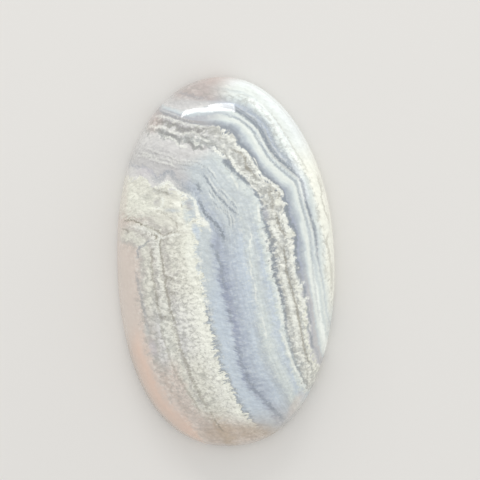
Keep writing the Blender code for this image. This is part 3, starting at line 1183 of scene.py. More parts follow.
UPPER_FLANK_SECTION = BandSection(
    outer=(
        (1.3, Tint.RIM_CREAM), (1.8, Tint.PEARL), (2.3, Tint.MIST), (2.55, Tint.FOG), (2.75, Tint.CLOUD),
        (2.95, Tint.SLATE), (3.12, Tint.STEEL), (3.38, Tint.MIST), (3.6, Tint.FOG), (3.85, Tint.FOG),
        (4.1, Tint.MIST), (4.35, Tint.PEARL), (4.9, Tint.PEARL), (5.2, Tint.MIST), (5.5, Tint.CLOUD),
        (5.8, Tint.STEEL), (6.2, Tint.LAVENDER), (6.4, Tint.SLATE), (6.93, Tint.SLATE),
        (7.02, Tint.LACE_WHITE), (7.5, Tint.LACE_WHITE), (7.7, Tint.LACE_SHADE), (7.9, Tint.LACE_GREY),
        (8.05, Tint.LACE_GREY), (8.15, Tint.LACE_WHITE),
    ),
    inner=(
        (8.65, Tint.LACE_GREY), (8.8, Tint.SLATE), (8.97, Tint.SLATE), (9.03, Tint.PEARL),
        (9.2, Tint.GREEN_WHITE), (9.4, Tint.SKY), (9.6, Tint.FOG), (9.9, Tint.MIST), (10.0, Tint.FOG),
        (10.2, Tint.SKY), (10.65, Tint.HAZE), (10.78, Tint.HAZE), (10.95, Tint.LAVENDER),
        (11.1, Tint.LAVENDER), (11.16, Tint.HAZE), (11.32, Tint.SKY), (11.7, Tint.SKY), (11.85, Tint.CLOUD),
        (11.93, Tint.STEEL), (11.98, Tint.SLATE), (12.01, Tint.CREAM), (12.12, Tint.RIM_CREAM),
        (12.5, Tint.CROWN), (12.9, Tint.CHALK), (13.15, Tint.OAT), (13.9, Tint.LACE_WHITE),
        (14.2, Tint.CHALK), (14.7, Tint.FLINT), (15.0, Tint.SAND), (15.4, Tint.BLUSH), (16.0, Tint.DUN),
    ),
)

FLANK_SECTION = BandSection(
    outer=(
        (1.5, Tint.RIM_CREAM), (2.2, Tint.PEARL), (2.6, Tint.MIST), (2.8, Tint.FOG), (3.2, Tint.PEARL),
        (3.6, Tint.MIST), (3.85, Tint.MIST), (4.25, Tint.PORCELAIN), (4.7, Tint.PORCELAIN),
        (5.1, Tint.PEARL), (5.4, Tint.FOG), (5.65, Tint.PUTTY), (6.2, Tint.VIOLET_GREY), (6.85, Tint.CHALK),
        (7.0, Tint.LACE_WHITE), (7.4, Tint.CREAM), (7.55, Tint.CREAM), (7.75, Tint.LACE_SHADE),
        (7.87, Tint.LACE_GREY), (8.0, Tint.OAT), (8.15, Tint.LACE_WHITE),
    ),
    inner=(
        (8.7, Tint.LACE_GREY), (8.85, Tint.LACE_SHADE), (8.95, Tint.LACE_SHADE), (9.02, Tint.PEARL),
        (9.25, Tint.GREEN_WHITE), (9.4, Tint.SKY), (9.85, Tint.MIST), (10.05, Tint.MIST),
        (10.2, Tint.CLOUD), (10.5, Tint.SKY), (10.8, Tint.HAZE), (10.92, Tint.HAZE), (11.08, Tint.LAVENDER),
        (11.14, Tint.HAZE), (11.3, Tint.SKY), (11.75, Tint.SKY), (11.93, Tint.STEEL), (11.98, Tint.SLATE),
        (12.01, Tint.CREAM), (12.12, Tint.RIM_CREAM), (12.3, Tint.CROWN), (12.55, Tint.OAT),
        (12.83, Tint.OAT), (13.02, Tint.FLINT), (13.2, Tint.OAT), (13.85, Tint.SAND), (14.3, Tint.SAND),
        (14.75, Tint.DUN), (15.05, Tint.SAND), (15.4, Tint.BLUSH), (16.0, Tint.DUN),
    ),
)

# The foot's warm tints are partly the stone's own colour and partly painted warm reflected light.
FOOT_SECTION = BandSection(
    outer=(
        (0.0, Tint.PEARL), (5.0, Tint.MIST), (5.5, Tint.FOG), (6.5, Tint.VIOLET_GREY),
        (6.95, Tint.LACE_GREY), (7.2, Tint.LACE_WHITE), (7.7, Tint.FLINT), (8.1, Tint.OAT),
    ),
    inner=(
        (8.5, Tint.OAT), (8.8, Tint.LACE_SHADE), (9.0, Tint.LACE_GREY), (9.8, Tint.LACE_GREY),
        (10.25, Tint.FLINT), (11.3, Tint.FLINT), (11.85, Tint.UMBER), (12.0, Tint.DUN), (12.2, Tint.DUN),
        (12.6, Tint.SAND), (12.85, Tint.UMBER), (13.3, Tint.DUN), (14.0, Tint.DUN), (14.6, Tint.SAND),
        (15.0, Tint.BLUSH), (16.0, Tint.DUN),
    ),
)

# Each section comes in over a span of degrees past the bend.
SECTION_CHANGES = (
    (SHOULDER_SECTION, -9.0, -4.0),
    (UPPER_FLANK_SECTION, 5.0, 12.0),
    (FLANK_SECTION, 19.0, 29.0),
    (FOOT_SECTION, 46.0, 60.0),
)


class Pattern(Enum):
    """The patterns that the spots in the stone follow."""

    CRYSTALS = "rounded crystal clumps"
    SMALL_CRYSTALS = "small crystal clumps"
    FEATHERS = "feathers that lie across the bands"
    SPECKS = "fine specks"


@dataclass(frozen=True)
class Blotch:
    """Spots of another colour: what noise makes them, how much of it turns, and where they lie.

    The threshold is the span of the pattern, from -1 to 1, over which the spots come in. Each stop
    of the amounts is a growth value and the strongest share there, and each stop of the fade is an
    angle past the bend and the part of that share that is left.
    """

    pattern: Pattern
    threshold: Point
    tint: Tint
    amounts: Amounts
    fade: Amounts


CLUMP_FADE = ((-60.0, 0.6), (-8.0, 0.7), (0.0, 1.0), (12.0, 1.0), (28.0, 0.8), (42.0, 0.75), (60.0, 0.35))
GRAIN_FADE = ((-60.0, 0.35), (-5.0, 0.45), (6.0, 1.0), (42.0, 0.9), (55.0, 0.5), (65.0, 0.3))
POCKET_FADE = ((-60.0, 0.1), (-4.0, 0.2), (5.0, 1.0), (20.0, 0.9), (32.0, 0.35), (60.0, 0.2))
FEATHER_FADE = ((0.0, 0.0), (9.0, 1.0), (40.0, 1.0), (52.0, 0.3), (60.0, 0.0))

BLOTCHES = (
    # Shadows between crystals
    Blotch(
        Pattern.CRYSTALS, (-0.1, -0.7), Tint.GAP,
        (
            (0.0, 0.0), (1.15, 0.05), (1.4, 0.45), (1.8, 0.3), (2.1, 0.0), (6.9, 0.0), (7.1, 0.35),
            (7.6, 0.5), (8.1, 0.55), (8.6, 0.5), (8.9, 0.4), (9.05, 0.1), (12.1, 0.0),
        ),
        CLUMP_FADE,
    ),
    # Pockets in the grain: painted shade between the crystals
    Blotch(
        Pattern.CRYSTALS, (-0.2, -0.7), Tint.GAP,
        ((12.2, 0.0), (12.6, 0.15), (13.0, 0.35), (14.0, 0.45), (15.0, 0.35), (15.25, 0.0)),
        POCKET_FADE,
    ),
    # Crystal crowns
    Blotch(
        Pattern.CRYSTALS, (0.1, 0.65), Tint.CROWN,
        (
            (0.0, 0.0), (1.2, 0.05), (1.9, 0.2), (3.2, 0.3), (6.9, 0.05), (7.0, 0.7), (8.9, 0.6),
            (9.1, 0.2), (9.9, 0.1), (10.0, 0.3), (10.2, 0.1), (11.6, 0.1), (12.0, 0.4), (12.9, 0.55),
            (13.3, 0.35), (15.0, 0.3), (15.3, 0.05),
        ),
        CLUMP_FADE,
    ),
    # Shadows between small crystals
    Blotch(
        Pattern.SMALL_CRYSTALS, (-0.3, -0.7), Tint.GAP,
        (
            (6.9, 0.0), (7.1, 0.2), (8.8, 0.2), (9.1, 0.1), (11.9, 0.1), (12.1, 0.3), (12.4, 0.5),
            (13.0, 0.5), (14.0, 0.4), (15.0, 0.3), (15.2, 0.02),
        ),
        GRAIN_FADE,
    ),
    # Small crystal crowns
    Blotch(
        Pattern.SMALL_CRYSTALS, (0.1, 0.6), Tint.RIM_CREAM,
        (
            (0.0, 0.0), (6.9, 0.05), (7.1, 0.2), (9.0, 0.35), (9.3, 0.25), (9.8, 0.15), (10.0, 0.3),
            (10.3, 0.2), (11.3, 0.1), (11.8, 0.15), (12.0, 0.8), (12.4, 0.6), (12.9, 0.35), (13.2, 0.15),
            (15.2, 0.02),
        ),
        GRAIN_FADE,
    ),
    # Violet feathers
    Blotch(
        Pattern.FEATHERS, (-0.3, 0.35), Tint.FEATHER,
        (
            (9.2, 0.0), (9.4, 0.15), (9.9, 0.05), (10.3, 0.15), (10.65, 0.25), (10.85, 0.4), (11.12, 0.75),
            (11.25, 0.25), (11.75, 0.05), (11.95, 0.0),
        ),
        FEATHER_FADE,
    ),
    # Specks between crystals
    Blotch(
        Pattern.SPECKS, (0.4, 0.8), Tint.OLIVE_GREY,
        (
            (0.0, 0.0), (1.2, 0.1), (1.45, 0.6), (1.9, 0.35), (2.2, 0.05), (6.9, 0.05), (7.1, 0.4),
            (8.0, 0.6), (8.6, 0.45), (9.0, 0.35), (9.1, 0.1), (11.7, 0.05), (12.0, 0.6), (12.4, 0.6),
            (13.2, 0.45), (14.5, 0.3), (15.2, 0.03),
        ),
        GRAIN_FADE,
    ),
    # Bright points
    Blotch(
        Pattern.SPECKS, (-0.4, -0.85), Tint.CREAM,
        (
            (0.0, 0.0), (1.2, 0.3), (1.9, 0.3), (3.2, 0.5), (4.0, 0.2), (6.9, 0.05), (7.0, 0.7), (8.9, 0.6),
            (9.2, 0.5), (9.6, 0.25), (9.9, 0.5), (10.1, 0.5), (10.2, 0.3), (11.0, 0.2), (11.5, 0.2),
            (11.8, 0.6), (12.0, 0.9), (13.0, 0.5), (15.0, 0.25), (15.2, 0.05),
        ),
        GRAIN_FADE,
    ),
)

# How ragged the bands' edges are, and how strongly crystals, laminae and fibres shade the colour:
# each stop is a growth value and the amount there.
EDGE_RAGGEDNESS = (
    (0.0, 0.12), (1.4, 0.35), (2.0, 0.15), (5.5, 0.15), (6.4, 0.5), (7.0, 0.95), (8.0, 1.0), (9.0, 0.9),
    (9.4, 0.55), (9.8, 0.7), (10.1, 0.7), (10.3, 0.3), (10.8, 0.5), (11.1, 1.3), (11.4, 0.8), (11.75, 0.7),
    (11.95, 1.45), (12.2, 1.3), (12.5, 0.9), (14.5, 0.9), (15.0, 0.7), (15.4, 0.25),
)
CRYSTAL_SHADING = (
    (0.0, 0.35), (1.0, 0.5), (1.1, 0.7), (1.9, 0.6), (2.2, 0.4), (2.7, 0.6), (3.2, 0.5), (3.6, 0.3),
    (4.0, 0.5), (4.4, 0.3), (6.3, 0.3), (7.0, 1.0), (9.0, 1.0), (9.3, 0.5), (9.8, 0.45), (10.6, 0.45),
    (10.9, 0.6), (11.3, 0.55), (11.7, 0.5), (12.0, 0.95), (13.0, 0.8), (14.8, 0.65), (15.3, 0.12),
)
LAMINA_SHADING = (
    (0.0, 0.2), (2.0, 0.6), (6.5, 0.6), (7.0, 0.15), (8.9, 0.2), (9.3, 0.9), (10.0, 1.0), (10.8, 1.0),
    (11.3, 0.6), (11.9, 0.4), (12.1, 0.5), (15.0, 0.5), (15.4, 0.1),
)
FIBRE_SHADING = (
    (0.0, 0.1), (3.0, 0.5), (4.0, 0.2), (7.0, 0.3), (9.0, 0.5), (9.3, 0.6), (10.0, 0.4), (10.6, 0.4),
    (11.0, 0.9), (11.25, 0.5), (11.9, 0.4), (12.2, 0.4), (15.0, 0.3), (15.3, 0.0),
)


class NodeSheet:
    """A material's node tree, filled by one small function."""

    def __init__(self, tree: bpy.types.NodeTree) -> None:
        """Starts from an empty tree."""
        self.tree = tree
        self.tree.nodes.clear()

    def add(self, kind: str, inputs: dict | None = None, out: str | int = 0, **settings) -> Socket | None:
        """Adds a node with its settings and links.

        Args:
            kind: The node's type, without the words ShaderNode.
            inputs: What each input takes, by its name or number: a value, or an output to link.
            out: The output that is handed back, by its name or number.
            settings: The node's own properties.

        Returns:
            The chosen output, or nothing where the node has none.
        """
        node = self.tree.nodes.new("ShaderNode" + kind)
        for name, value in settings.items():
            setattr(node, name, value)
        for name, value in (inputs or {}).items():
            if isinstance(value, Socket):
                self.tree.links.new(value, node.inputs[name])
            else:
                node.inputs[name].default_value = value
        return node.outputs[out] if len(node.outputs) else None


class StoneSheet(NodeSheet):
    """The stone's node tree, with the places and fields that the stone's layers read.

    The place is in millimetres of the stone, and the bands' place is in millimetres across the
    bands, along them, and up. The growth value is smooth until its ragged edges are made.
    """

    def __init__(self, tree: bpy.types.NodeTree) -> None:
        """Reads the places, and the fields that the mesh carries.

        Args:
            tree: The stone's node tree.
        """
        super().__init__(tree)
        metres = self.add("TexCoord", out="Object")
        self.place = self.add("VectorMath", {0: metres, "Scale": 1.0 / MM}, operation="SCALE")
        self.height = self.add("SeparateXYZ", {0: self.place}, out="Z")
        across, along, self.growth, self.pace, self.past_bend = (
            self.add("Attribute", out="Fac", attribute_name=name)
            for name in ("across", "along", "growth", "pace", "past_bend")
        )
        self.bands = self.add("CombineXYZ", {"X": across, "Y": along, "Z": self.height})


@dataclass(frozen=True)
class Grain:
    """A noise pattern: how often it turns in a millimetre, its finer detail, and how rough that is.

    Where a pattern follows the bands, its directions go across them, along them and up. Otherwise
    they are x, y and z. How often it turns is one over the real size of what it draws, where a
    size is given.
    """

    per_mm: tuple[float, float, float]
    detail: float
    roughness: float = 0.5


@dataclass(frozen=True)
class PolishedChalcedony:
    """Chalcedony, ground and polished: fine quartz fibres that take a glassy skin.

    The eye gets sharp reflections over milky colour that seems to lie a little below the surface.
    Quartz fibres make smooth, hazy bands, and where the quartz grew coarser the bands turn to
    white crystal grain with ragged edges. The specks are drawn about twice as coarse as the real
    ones, so that they show.
    """

    name: str = "polished chalcedony"
    ior: float = 1.54
    dome_roughness: float = 0.06
    back_roughness: float = 0.42
    back_height_mm: float = 0.2
    split: float = 8.5
    last_front: float = 16.0
    fade_span_deg: Point = (-60.0, 65.0)
    # Noise keeps to this span nearly everywhere, and it is stretched to run from -1 to 1.
    noise_span: Point = (0.27, 0.73)
    # The bands' edges, and how far each pattern moves them
    sway: Grain = Grain((0.5, 0.5, 0.5), 2.0)
    sway_mm: float = 0.14
    comb: Grain = Grain((1.0 / 1.1, 1.0 / 0.3, 1.0), 3.0, 0.65)
    comb_reach_mm: float = 0.34
    tooth_mm: float = 0.6
    tooth_span: float = 0.9
    tooth_reach_mm: float = 0.2
    fine_grain: Grain = Grain((1.0 / 0.17, 1.0 / 0.17, 1.0 / 0.17), 2.0, 0.6)
    fine_reach_mm: float = 0.09
    # Crystal clumps: uneven cells, roughened and pushed about by noise
    crystal_mm: float = 0.62
    crystal_flatness: float = 1.25
    crystal_softness: float = 0.25
    cell_span: Point = (0.1, 0.75)
    cell_height: float = 0.75
    small_crystal_share: float = 0.55
    warp_mm: float = 0.6
    warp_detail: float = 2.0
    warp_reach_mm: float = 0.5
    clumps: Grain = Grain((1.0 / 0.34, 1.0 / 0.34, 1.0 / 0.34), 2.5, 0.55)
    clump_roughness: float = 0.6
    # Spots, clouds and fine lines
    feathers: Grain = Grain((1.0 / 0.7, 1.0 / 0.3, 1.0), 3.0, 0.6)
    specks: Grain = Grain((1.0 / 0.17, 1.0 / 0.17, 1.0 / 0.17), 2.0, 0.7)
    patch_clouds: Grain = Grain((2.2, 2.2, 2.2), 4.0, 0.65)
    patch_cloud: float = 0.45
    patch_fill: float = 0.95
    line_edges: Grain = Grain((1.0 / 0.17, 1.0 / 0.17, 1.0 / 0.17), 3.0, 0.6)
    line_roughness: float = 0.42
    line_edge: Point = (0.42, 0.82)
    # The shading, and how strong each part of it is
    fibres: Grain = Grain((1.6 / 1.1, 1.7 / 0.3, 1.5), 4.0, 0.65)
    laminae: Grain = Grain((1.0 / 0.19, 0.35, 0.6), 3.0, 0.6)
    clouds: Grain = Grain((0.45, 0.45, 0.45), 3.0)
    # Painted light falls on the crystal clumps from this direction.
    toward_light_mm: tuple[float, float, float] = (0.05, 0.087, 0.0)
    clump_shade: float = 0.03
    grain_shade: float = 0.04
    relief_shade: float = 0.16
    lamina_shade: float = 0.085
    fibre_shade: float = 0.085
    cloud_shade: float = 0.03

    def build(self) -> bpy.types.Material:
        """Builds the material.

        Returns:
            The finished material.
        """
        material = bpy.data.materials.new(self.name)
        material.use_nodes = True
        sheet = StoneSheet(material.node_tree)
        sheet.growth = self.ragged_growth(sheet)
        base = self.band_colour(sheet)
        base = self.blotches(sheet, base)
        base = self.patches(sheet, base)
        base = self.fine_lines(sheet, base)
        base = self.light_and_dark(sheet, base)
        self.surface(sheet, base)
        log.info("material %s: %d nodes", self.name, len(material.node_tree.nodes))
        return material

    def noise(self, sheet: NodeSheet, place: Socket, grain: Grain) -> Socket:
        """Adds noise about zero, from -1 to 1.

        Args:
            sheet: The tree to add to.
            place: The place that the noise reads, in millimetres.
            grain: The pattern.

        Returns:
            The noise.
        """
        scaled = sheet.add("VectorMath", {0: place, 1: grain.per_mm}, operation="MULTIPLY")
        look = {"Scale": 1.0, "Detail": grain.detail, "Roughness": grain.roughness}
        raw = sheet.add("TexNoise", {"Vector": scaled, **look}, out="Fac")
        low, high = self.noise_span
        span = {"From Min": low, "From Max": high, "To Min": -1.0, "To Max": 1.0}
        return sheet.add("MapRange", {"Value": raw, **span})

    def ramp(
        self, sheet: NodeSheet, value: Socket, span: Point, stops: Iterable[tuple[float, Colour]]
    ) -> Socket:
        """Makes a colour that follows a value.

        Args:
            sheet: The tree to add to.
            value: The value that the colour follows.
            span: The values at the start and the end of the ramp.
            stops: Values in rising order and the colours there.

        Returns:
            The colour.
        """
        low, high = span
        share = sheet.add("MapRange", {"Value": value, "From Min": low, "From Max": high})
        ramp = sheet.add("ValToRGB", {"Fac": share}, out="Color")
        elements = ramp.node.color_ramp.elements
        for number, (at, colour) in enumerate(stops):
            position = (at - low) / (high - low)
            element = elements[number] if number < 2 else elements.new(position)
            element.position = position
            element.color = colour
        return ramp

    def amount(self, sheet: NodeSheet, value: Socket, span: Point, stops: Amounts) -> Socket:
        """Makes a plain amount that rises and falls with a value."""
        return self.ramp(sheet, value, span, ((at, (share, share, share, 1.0)) for at, share in stops))

    def amount_by_band(self, sheet: StoneSheet, stops: Amounts) -> Socket:
        """Makes an amount that rises and falls from band to band."""
        return self.amount(sheet, sheet.growth, (0.0, self.last_front), stops)

    def ragged_growth(self, sheet: StoneSheet) -> Socket:
        """Roughens the growth value, so that crystal bands have ragged, toothed edges.

        Args:
            sheet: The stone's tree.

        Returns:
            The ragged growth value.
        """
        edge = self.amount_by_band(sheet, EDGE_RAGGEDNESS)
        sway = self.noise(sheet, sheet.place, self.sway)
        comb = self.noise(sheet, sheet.bands, self.comb)
        fine = self.noise(sheet, sheet.place, self.fine_grain)
        cells = {"Vector": sheet.place, "Scale": 1.0 / self.tooth_mm, "Detail": 0.0}
        cells = sheet.add("TexVoronoi", cells, out="Distance")
        span = {"From Max": self.tooth_span, "To Min": 1.0, "To Max": -1.0}
        tooth = sheet.add("MapRange", {"Value": cells, **span})
        reach = sheet.add("Math", {0: comb, 1: self.comb_reach_mm}, operation="MULTIPLY")
        for part, part_reach in ((tooth, self.tooth_reach_mm), (fine, self.fine_reach_mm)):
            reach = sheet.add("Math", {0: part, 1: part_reach, 2: reach}, operation="MULTIPLY_ADD")
        reach = sheet.add("Math", {0: reach, 1: edge}, operation="MULTIPLY")
        reach = sheet.add("Math", {0: sway, 1: self.sway_mm, 2: reach}, operation="MULTIPLY_ADD")
        return sheet.add("Math", {0: reach, 1: sheet.pace, 2: sheet.growth}, operation="MULTIPLY_ADD")

    def section_colour(self, sheet: StoneSheet, section: BandSection) -> Socket:
        """Colours the bands by one section.

        Args:
            sheet: The stone's tree.
            section: The colours.

        Returns:
            The colour.
        """
        outer, inner = (
            self.ramp(sheet, sheet.growth, span, ((at, linear(tint.value)) for at, tint in stops))
            for stops, span in (
                (section.outer, (0.0, self.split)),
                (section.inner, (self.split, self.last_front)),
            )
        )
        past_split = sheet.add("Math", {0: sheet.growth, 1: self.split}, operation="GREATER_THAN")
        blend = {"Factor": past_split, "A": outer, "B": inner}
        return sheet.add("Mix", blend, out="Result", data_type="RGBA")

    def band_colour(self, sheet: StoneSheet) -> Socket:
        """Blends the sections along the bands, from the arm over the shoulder to the foot.

        Args:
            sheet: The stone's tree.

        Returns:
            The colour of the bands.
        """
        colour = self.section_colour(sheet, ARM_SECTION)
        for section, start, end in SECTION_CHANGES:
            span = {"Value": sheet.past_bend, "From Min": start, "From Max": end}
            passed = sheet.add("MapRange", span, interpolation_type="SMOOTHSTEP")
            blend = {"Factor": passed, "A": colour, "B": self.section_colour(sheet, section)}
            colour = sheet.add("Mix", blend, out="Result", data_type="RGBA")
        return colour

    def patches(self, sheet: StoneSheet, base: Socket) -> Socket:
        """Lays the soft patches over the bands, with clouded edges.

        Args:
            sheet: The stone's tree.
            base: The colour so far.

        Returns:
            The clouded colour.
        """
        share = sheet.add("Attribute", out="Fac", attribute_name="patch_share")
        tint = sheet.add("Attribute", out="Color", attribute_name="patch_tint")
        cloud = self.noise(sheet, sheet.place, self.patch_clouds)
        cloud = {0: cloud, 1: self.patch_cloud, 2: self.patch_fill}
        cloud = sheet.add("Math", cloud, operation="MULTIPLY_ADD")
        share = sheet.add("Math", {0: share, 1: cloud}, operation="MULTIPLY", use_clamp=True)
        return sheet.add("Mix", {"Factor": share, "A": base, "B": tint}, out="Result", data_type="RGBA")

    def crystals(self, sheet: NodeSheet, place: Socket, size: float = 1.0) -> Socket:
        """Makes rounded, uneven clumps: near 1 on their crowns and near -1 in the gaps between them.

        Args:
            sheet: The tree to add to.
            place: The place on the stone in millimetres.
            size: How large the clumps are, as a share of the largest ones.

        Returns:
            The height of the clumps.
        """
        per_size = (1.0 / size, self.crystal_flatness / size, 1.0 / size)
        place = sheet.add("VectorMath", {0: place, 1: per_size}, operation="MULTIPLY")
        warp = {"Vector": place, "Scale": 1.0 / self.warp_mm, "Detail": self.warp_detail}
        warp = sheet.add("TexNoise", warp, out="Color")
        warp = sheet.add("VectorMath", {0: warp, "Scale": self.warp_reach_mm}, operation="SCALE")
        warped = sheet.add("VectorMath", {0: place, 1: warp}, operation="ADD")
        cells = {"Vector": warped, "Scale": 1.0 / self.crystal_mm, "Smoothness": self.crystal_softness}
        cells = sheet.add("TexVoronoi", cells, out="Distance", feature="SMOOTH_F1")
        low, high = self.cell_span
        span = {"From Min": low, "From Max": high, "To Min": self.cell_height, "To Max": -self.cell_height}
        crown = sheet.add("MapRange", {"Value": cells, **span})
        rough = self.noise(sheet, warped, self.clumps)
        return sheet.add("Math", {0: rough, 1: self.clump_roughness, 2: crown}, operation="MULTIPLY_ADD")

    def blotches(self, sheet: StoneSheet, base: Socket) -> Socket:
        """Lays the crystals' shadows and crowns, the feathers and the specks over the bands.

        Args:
            sheet: The stone's tree.
            base: The colour so far.

        Returns:
            The spotted colour.
        """
        values = {
            Pattern.CRYSTALS: self.crystals(sheet, sheet.place),
            Pattern.SMALL_CRYSTALS: self.crystals(sheet, sheet.place, self.small_crystal_share),
            Pattern.FEATHERS: self.noise(sheet, sheet.bands, self.feathers),
            Pattern.SPECKS: self.noise(sheet, sheet.place, self.specks),
        }
        for blotch in BLOTCHES:
            start, end = blotch.threshold
            span = {"Value": values[blotch.pattern], "From Min": start, "From Max": end}
            share = sheet.add("MapRange", span, interpolation_type="SMOOTHSTEP")
            amount = self.amount_by_band(sheet, blotch.amounts)
            left = self.amount(sheet, sheet.past_bend, self.fade_span_deg, blotch.fade)
            share = sheet.add("Math", {0: share, 1: amount}, operation="MULTIPLY")
            share = sheet.add("Math", {0: share, 1: left}, operation="MULTIPLY", use_clamp=True)
            blend = {"Factor": share, "A": base, "B": linear(blotch.tint.value)}
            base = sheet.add("Mix", blend, out="Result", data_type="RGBA")
        return base

    def light_and_dark(self, sheet: StoneSheet, base: Socket) -> Socket:
        """Shades the colour with crystal grain, painted relief light and shade, laminae and fibres.

        Args:
            sheet: The stone's tree.
            base: The colour so far.

        Returns:
            The shaded colour.
        """
        clump = self.crystals(sheet, sheet.place)
        grain = self.noise(sheet, sheet.place, self.fine_grain)
        # Painted light and shade: each clump is lighter on the side toward the light and darker on the other.
        shifted = sheet.add("VectorMath", {0: sheet.place, 1: self.toward_light_mm}, operation="ADD")
        relief = sheet.add("Math", {0: clump, 1: self.crystals(sheet, shifted)}, operation="SUBTRACT")
        total = sheet.add("Math", {0: clump, 1: self.clump_shade}, operation="MULTIPLY")
        for layer, shade in ((grain, self.grain_shade), (relief, self.relief_shade)):
            total = sheet.add("Math", {0: layer, 1: shade, 2: total}, operation="MULTIPLY_ADD")
        crystal = self.amount_by_band(sheet, CRYSTAL_SHADING)
        total = sheet.add("Math", {0: total, 1: crystal}, operation="MULTIPLY")
        followers = (
            (self.laminae, LAMINA_SHADING, self.lamina_shade),
            (self.fibres, FIBRE_SHADING, self.fibre_shade),
        )
        for pattern, stops, shade in followers:
            layer = {0: self.noise(sheet, sheet.bands, pattern), 1: self.amount_by_band(sheet, stops)}
            layer = sheet.add("Math", layer, operation="MULTIPLY")
            total = sheet.add("Math", {0: layer, 1: shade, 2: total}, operation="MULTIPLY_ADD")
        cloud = self.noise(sheet, sheet.place, self.clouds)
        total = sheet.add("Math", {0: cloud, 1: self.cloud_shade, 2: total}, operation="MULTIPLY_ADD")
        light = sheet.add("Math", {0: total, 1: 1.0}, operation="ADD")
        return sheet.add("VectorMath", {0: base, "Scale": light}, operation="SCALE")

    def fine_lines(self, sheet: StoneSheet, base: Socket) -> Socket:
        """Draws the fine lines, with edges as rough as they have in the stone.

        Args:
            sheet: The stone's tree.
            base: The colour so far.

        Returns:
            The lined colour.
        """
        rough = self.noise(sheet, sheet.place, self.line_edges)
        start, end = self.line_edge
        for shade in Shade:
            nearness = sheet.add("Attribute", out="Fac", attribute_name=shade.field_name)
            strength = sheet.add("Attribute", out="Fac", attribute_name=shade.strength_name)
            ragged = {0: rough, 1: self.line_roughness, 2: nearness}
            ragged = sheet.add("Math", ragged, operation="MULTIPLY_ADD")
            span = {"Value": ragged, "From Min": start, "From Max": end}
            share = sheet.add("MapRange", span, interpolation_type="SMOOTHSTEP")
            share = sheet.add("Math", {0: share, 1: strength}, operation="MULTIPLY", use_clamp=True)
            blend = {"Factor": share, "A": base, "B": linear(shade.colour)}
            base = sheet.add("Mix", blend, out="Result", data_type="RGBA")
        return base

    def surface(self, sheet: StoneSheet, base: Socket) -> None:
        """Closes the material: glassy on the dome and wall, fine ground satin on the back.

        Args:
            sheet: The stone's tree.
            base: The finished colour.
        """
        span = {"From Max": self.back_height_mm, "To Min": self.back_roughness, "To Max": self.dome_roughness}
        rough = sheet.add("MapRange", {"Value": sheet.height, **span})
        finish = {"Base Color": base, "Roughness": rough, "IOR": self.ior}
        shader = sheet.add("BsdfPrincipled", finish, out="BSDF")
        sheet.add("OutputMaterial", {"Surface": shader})


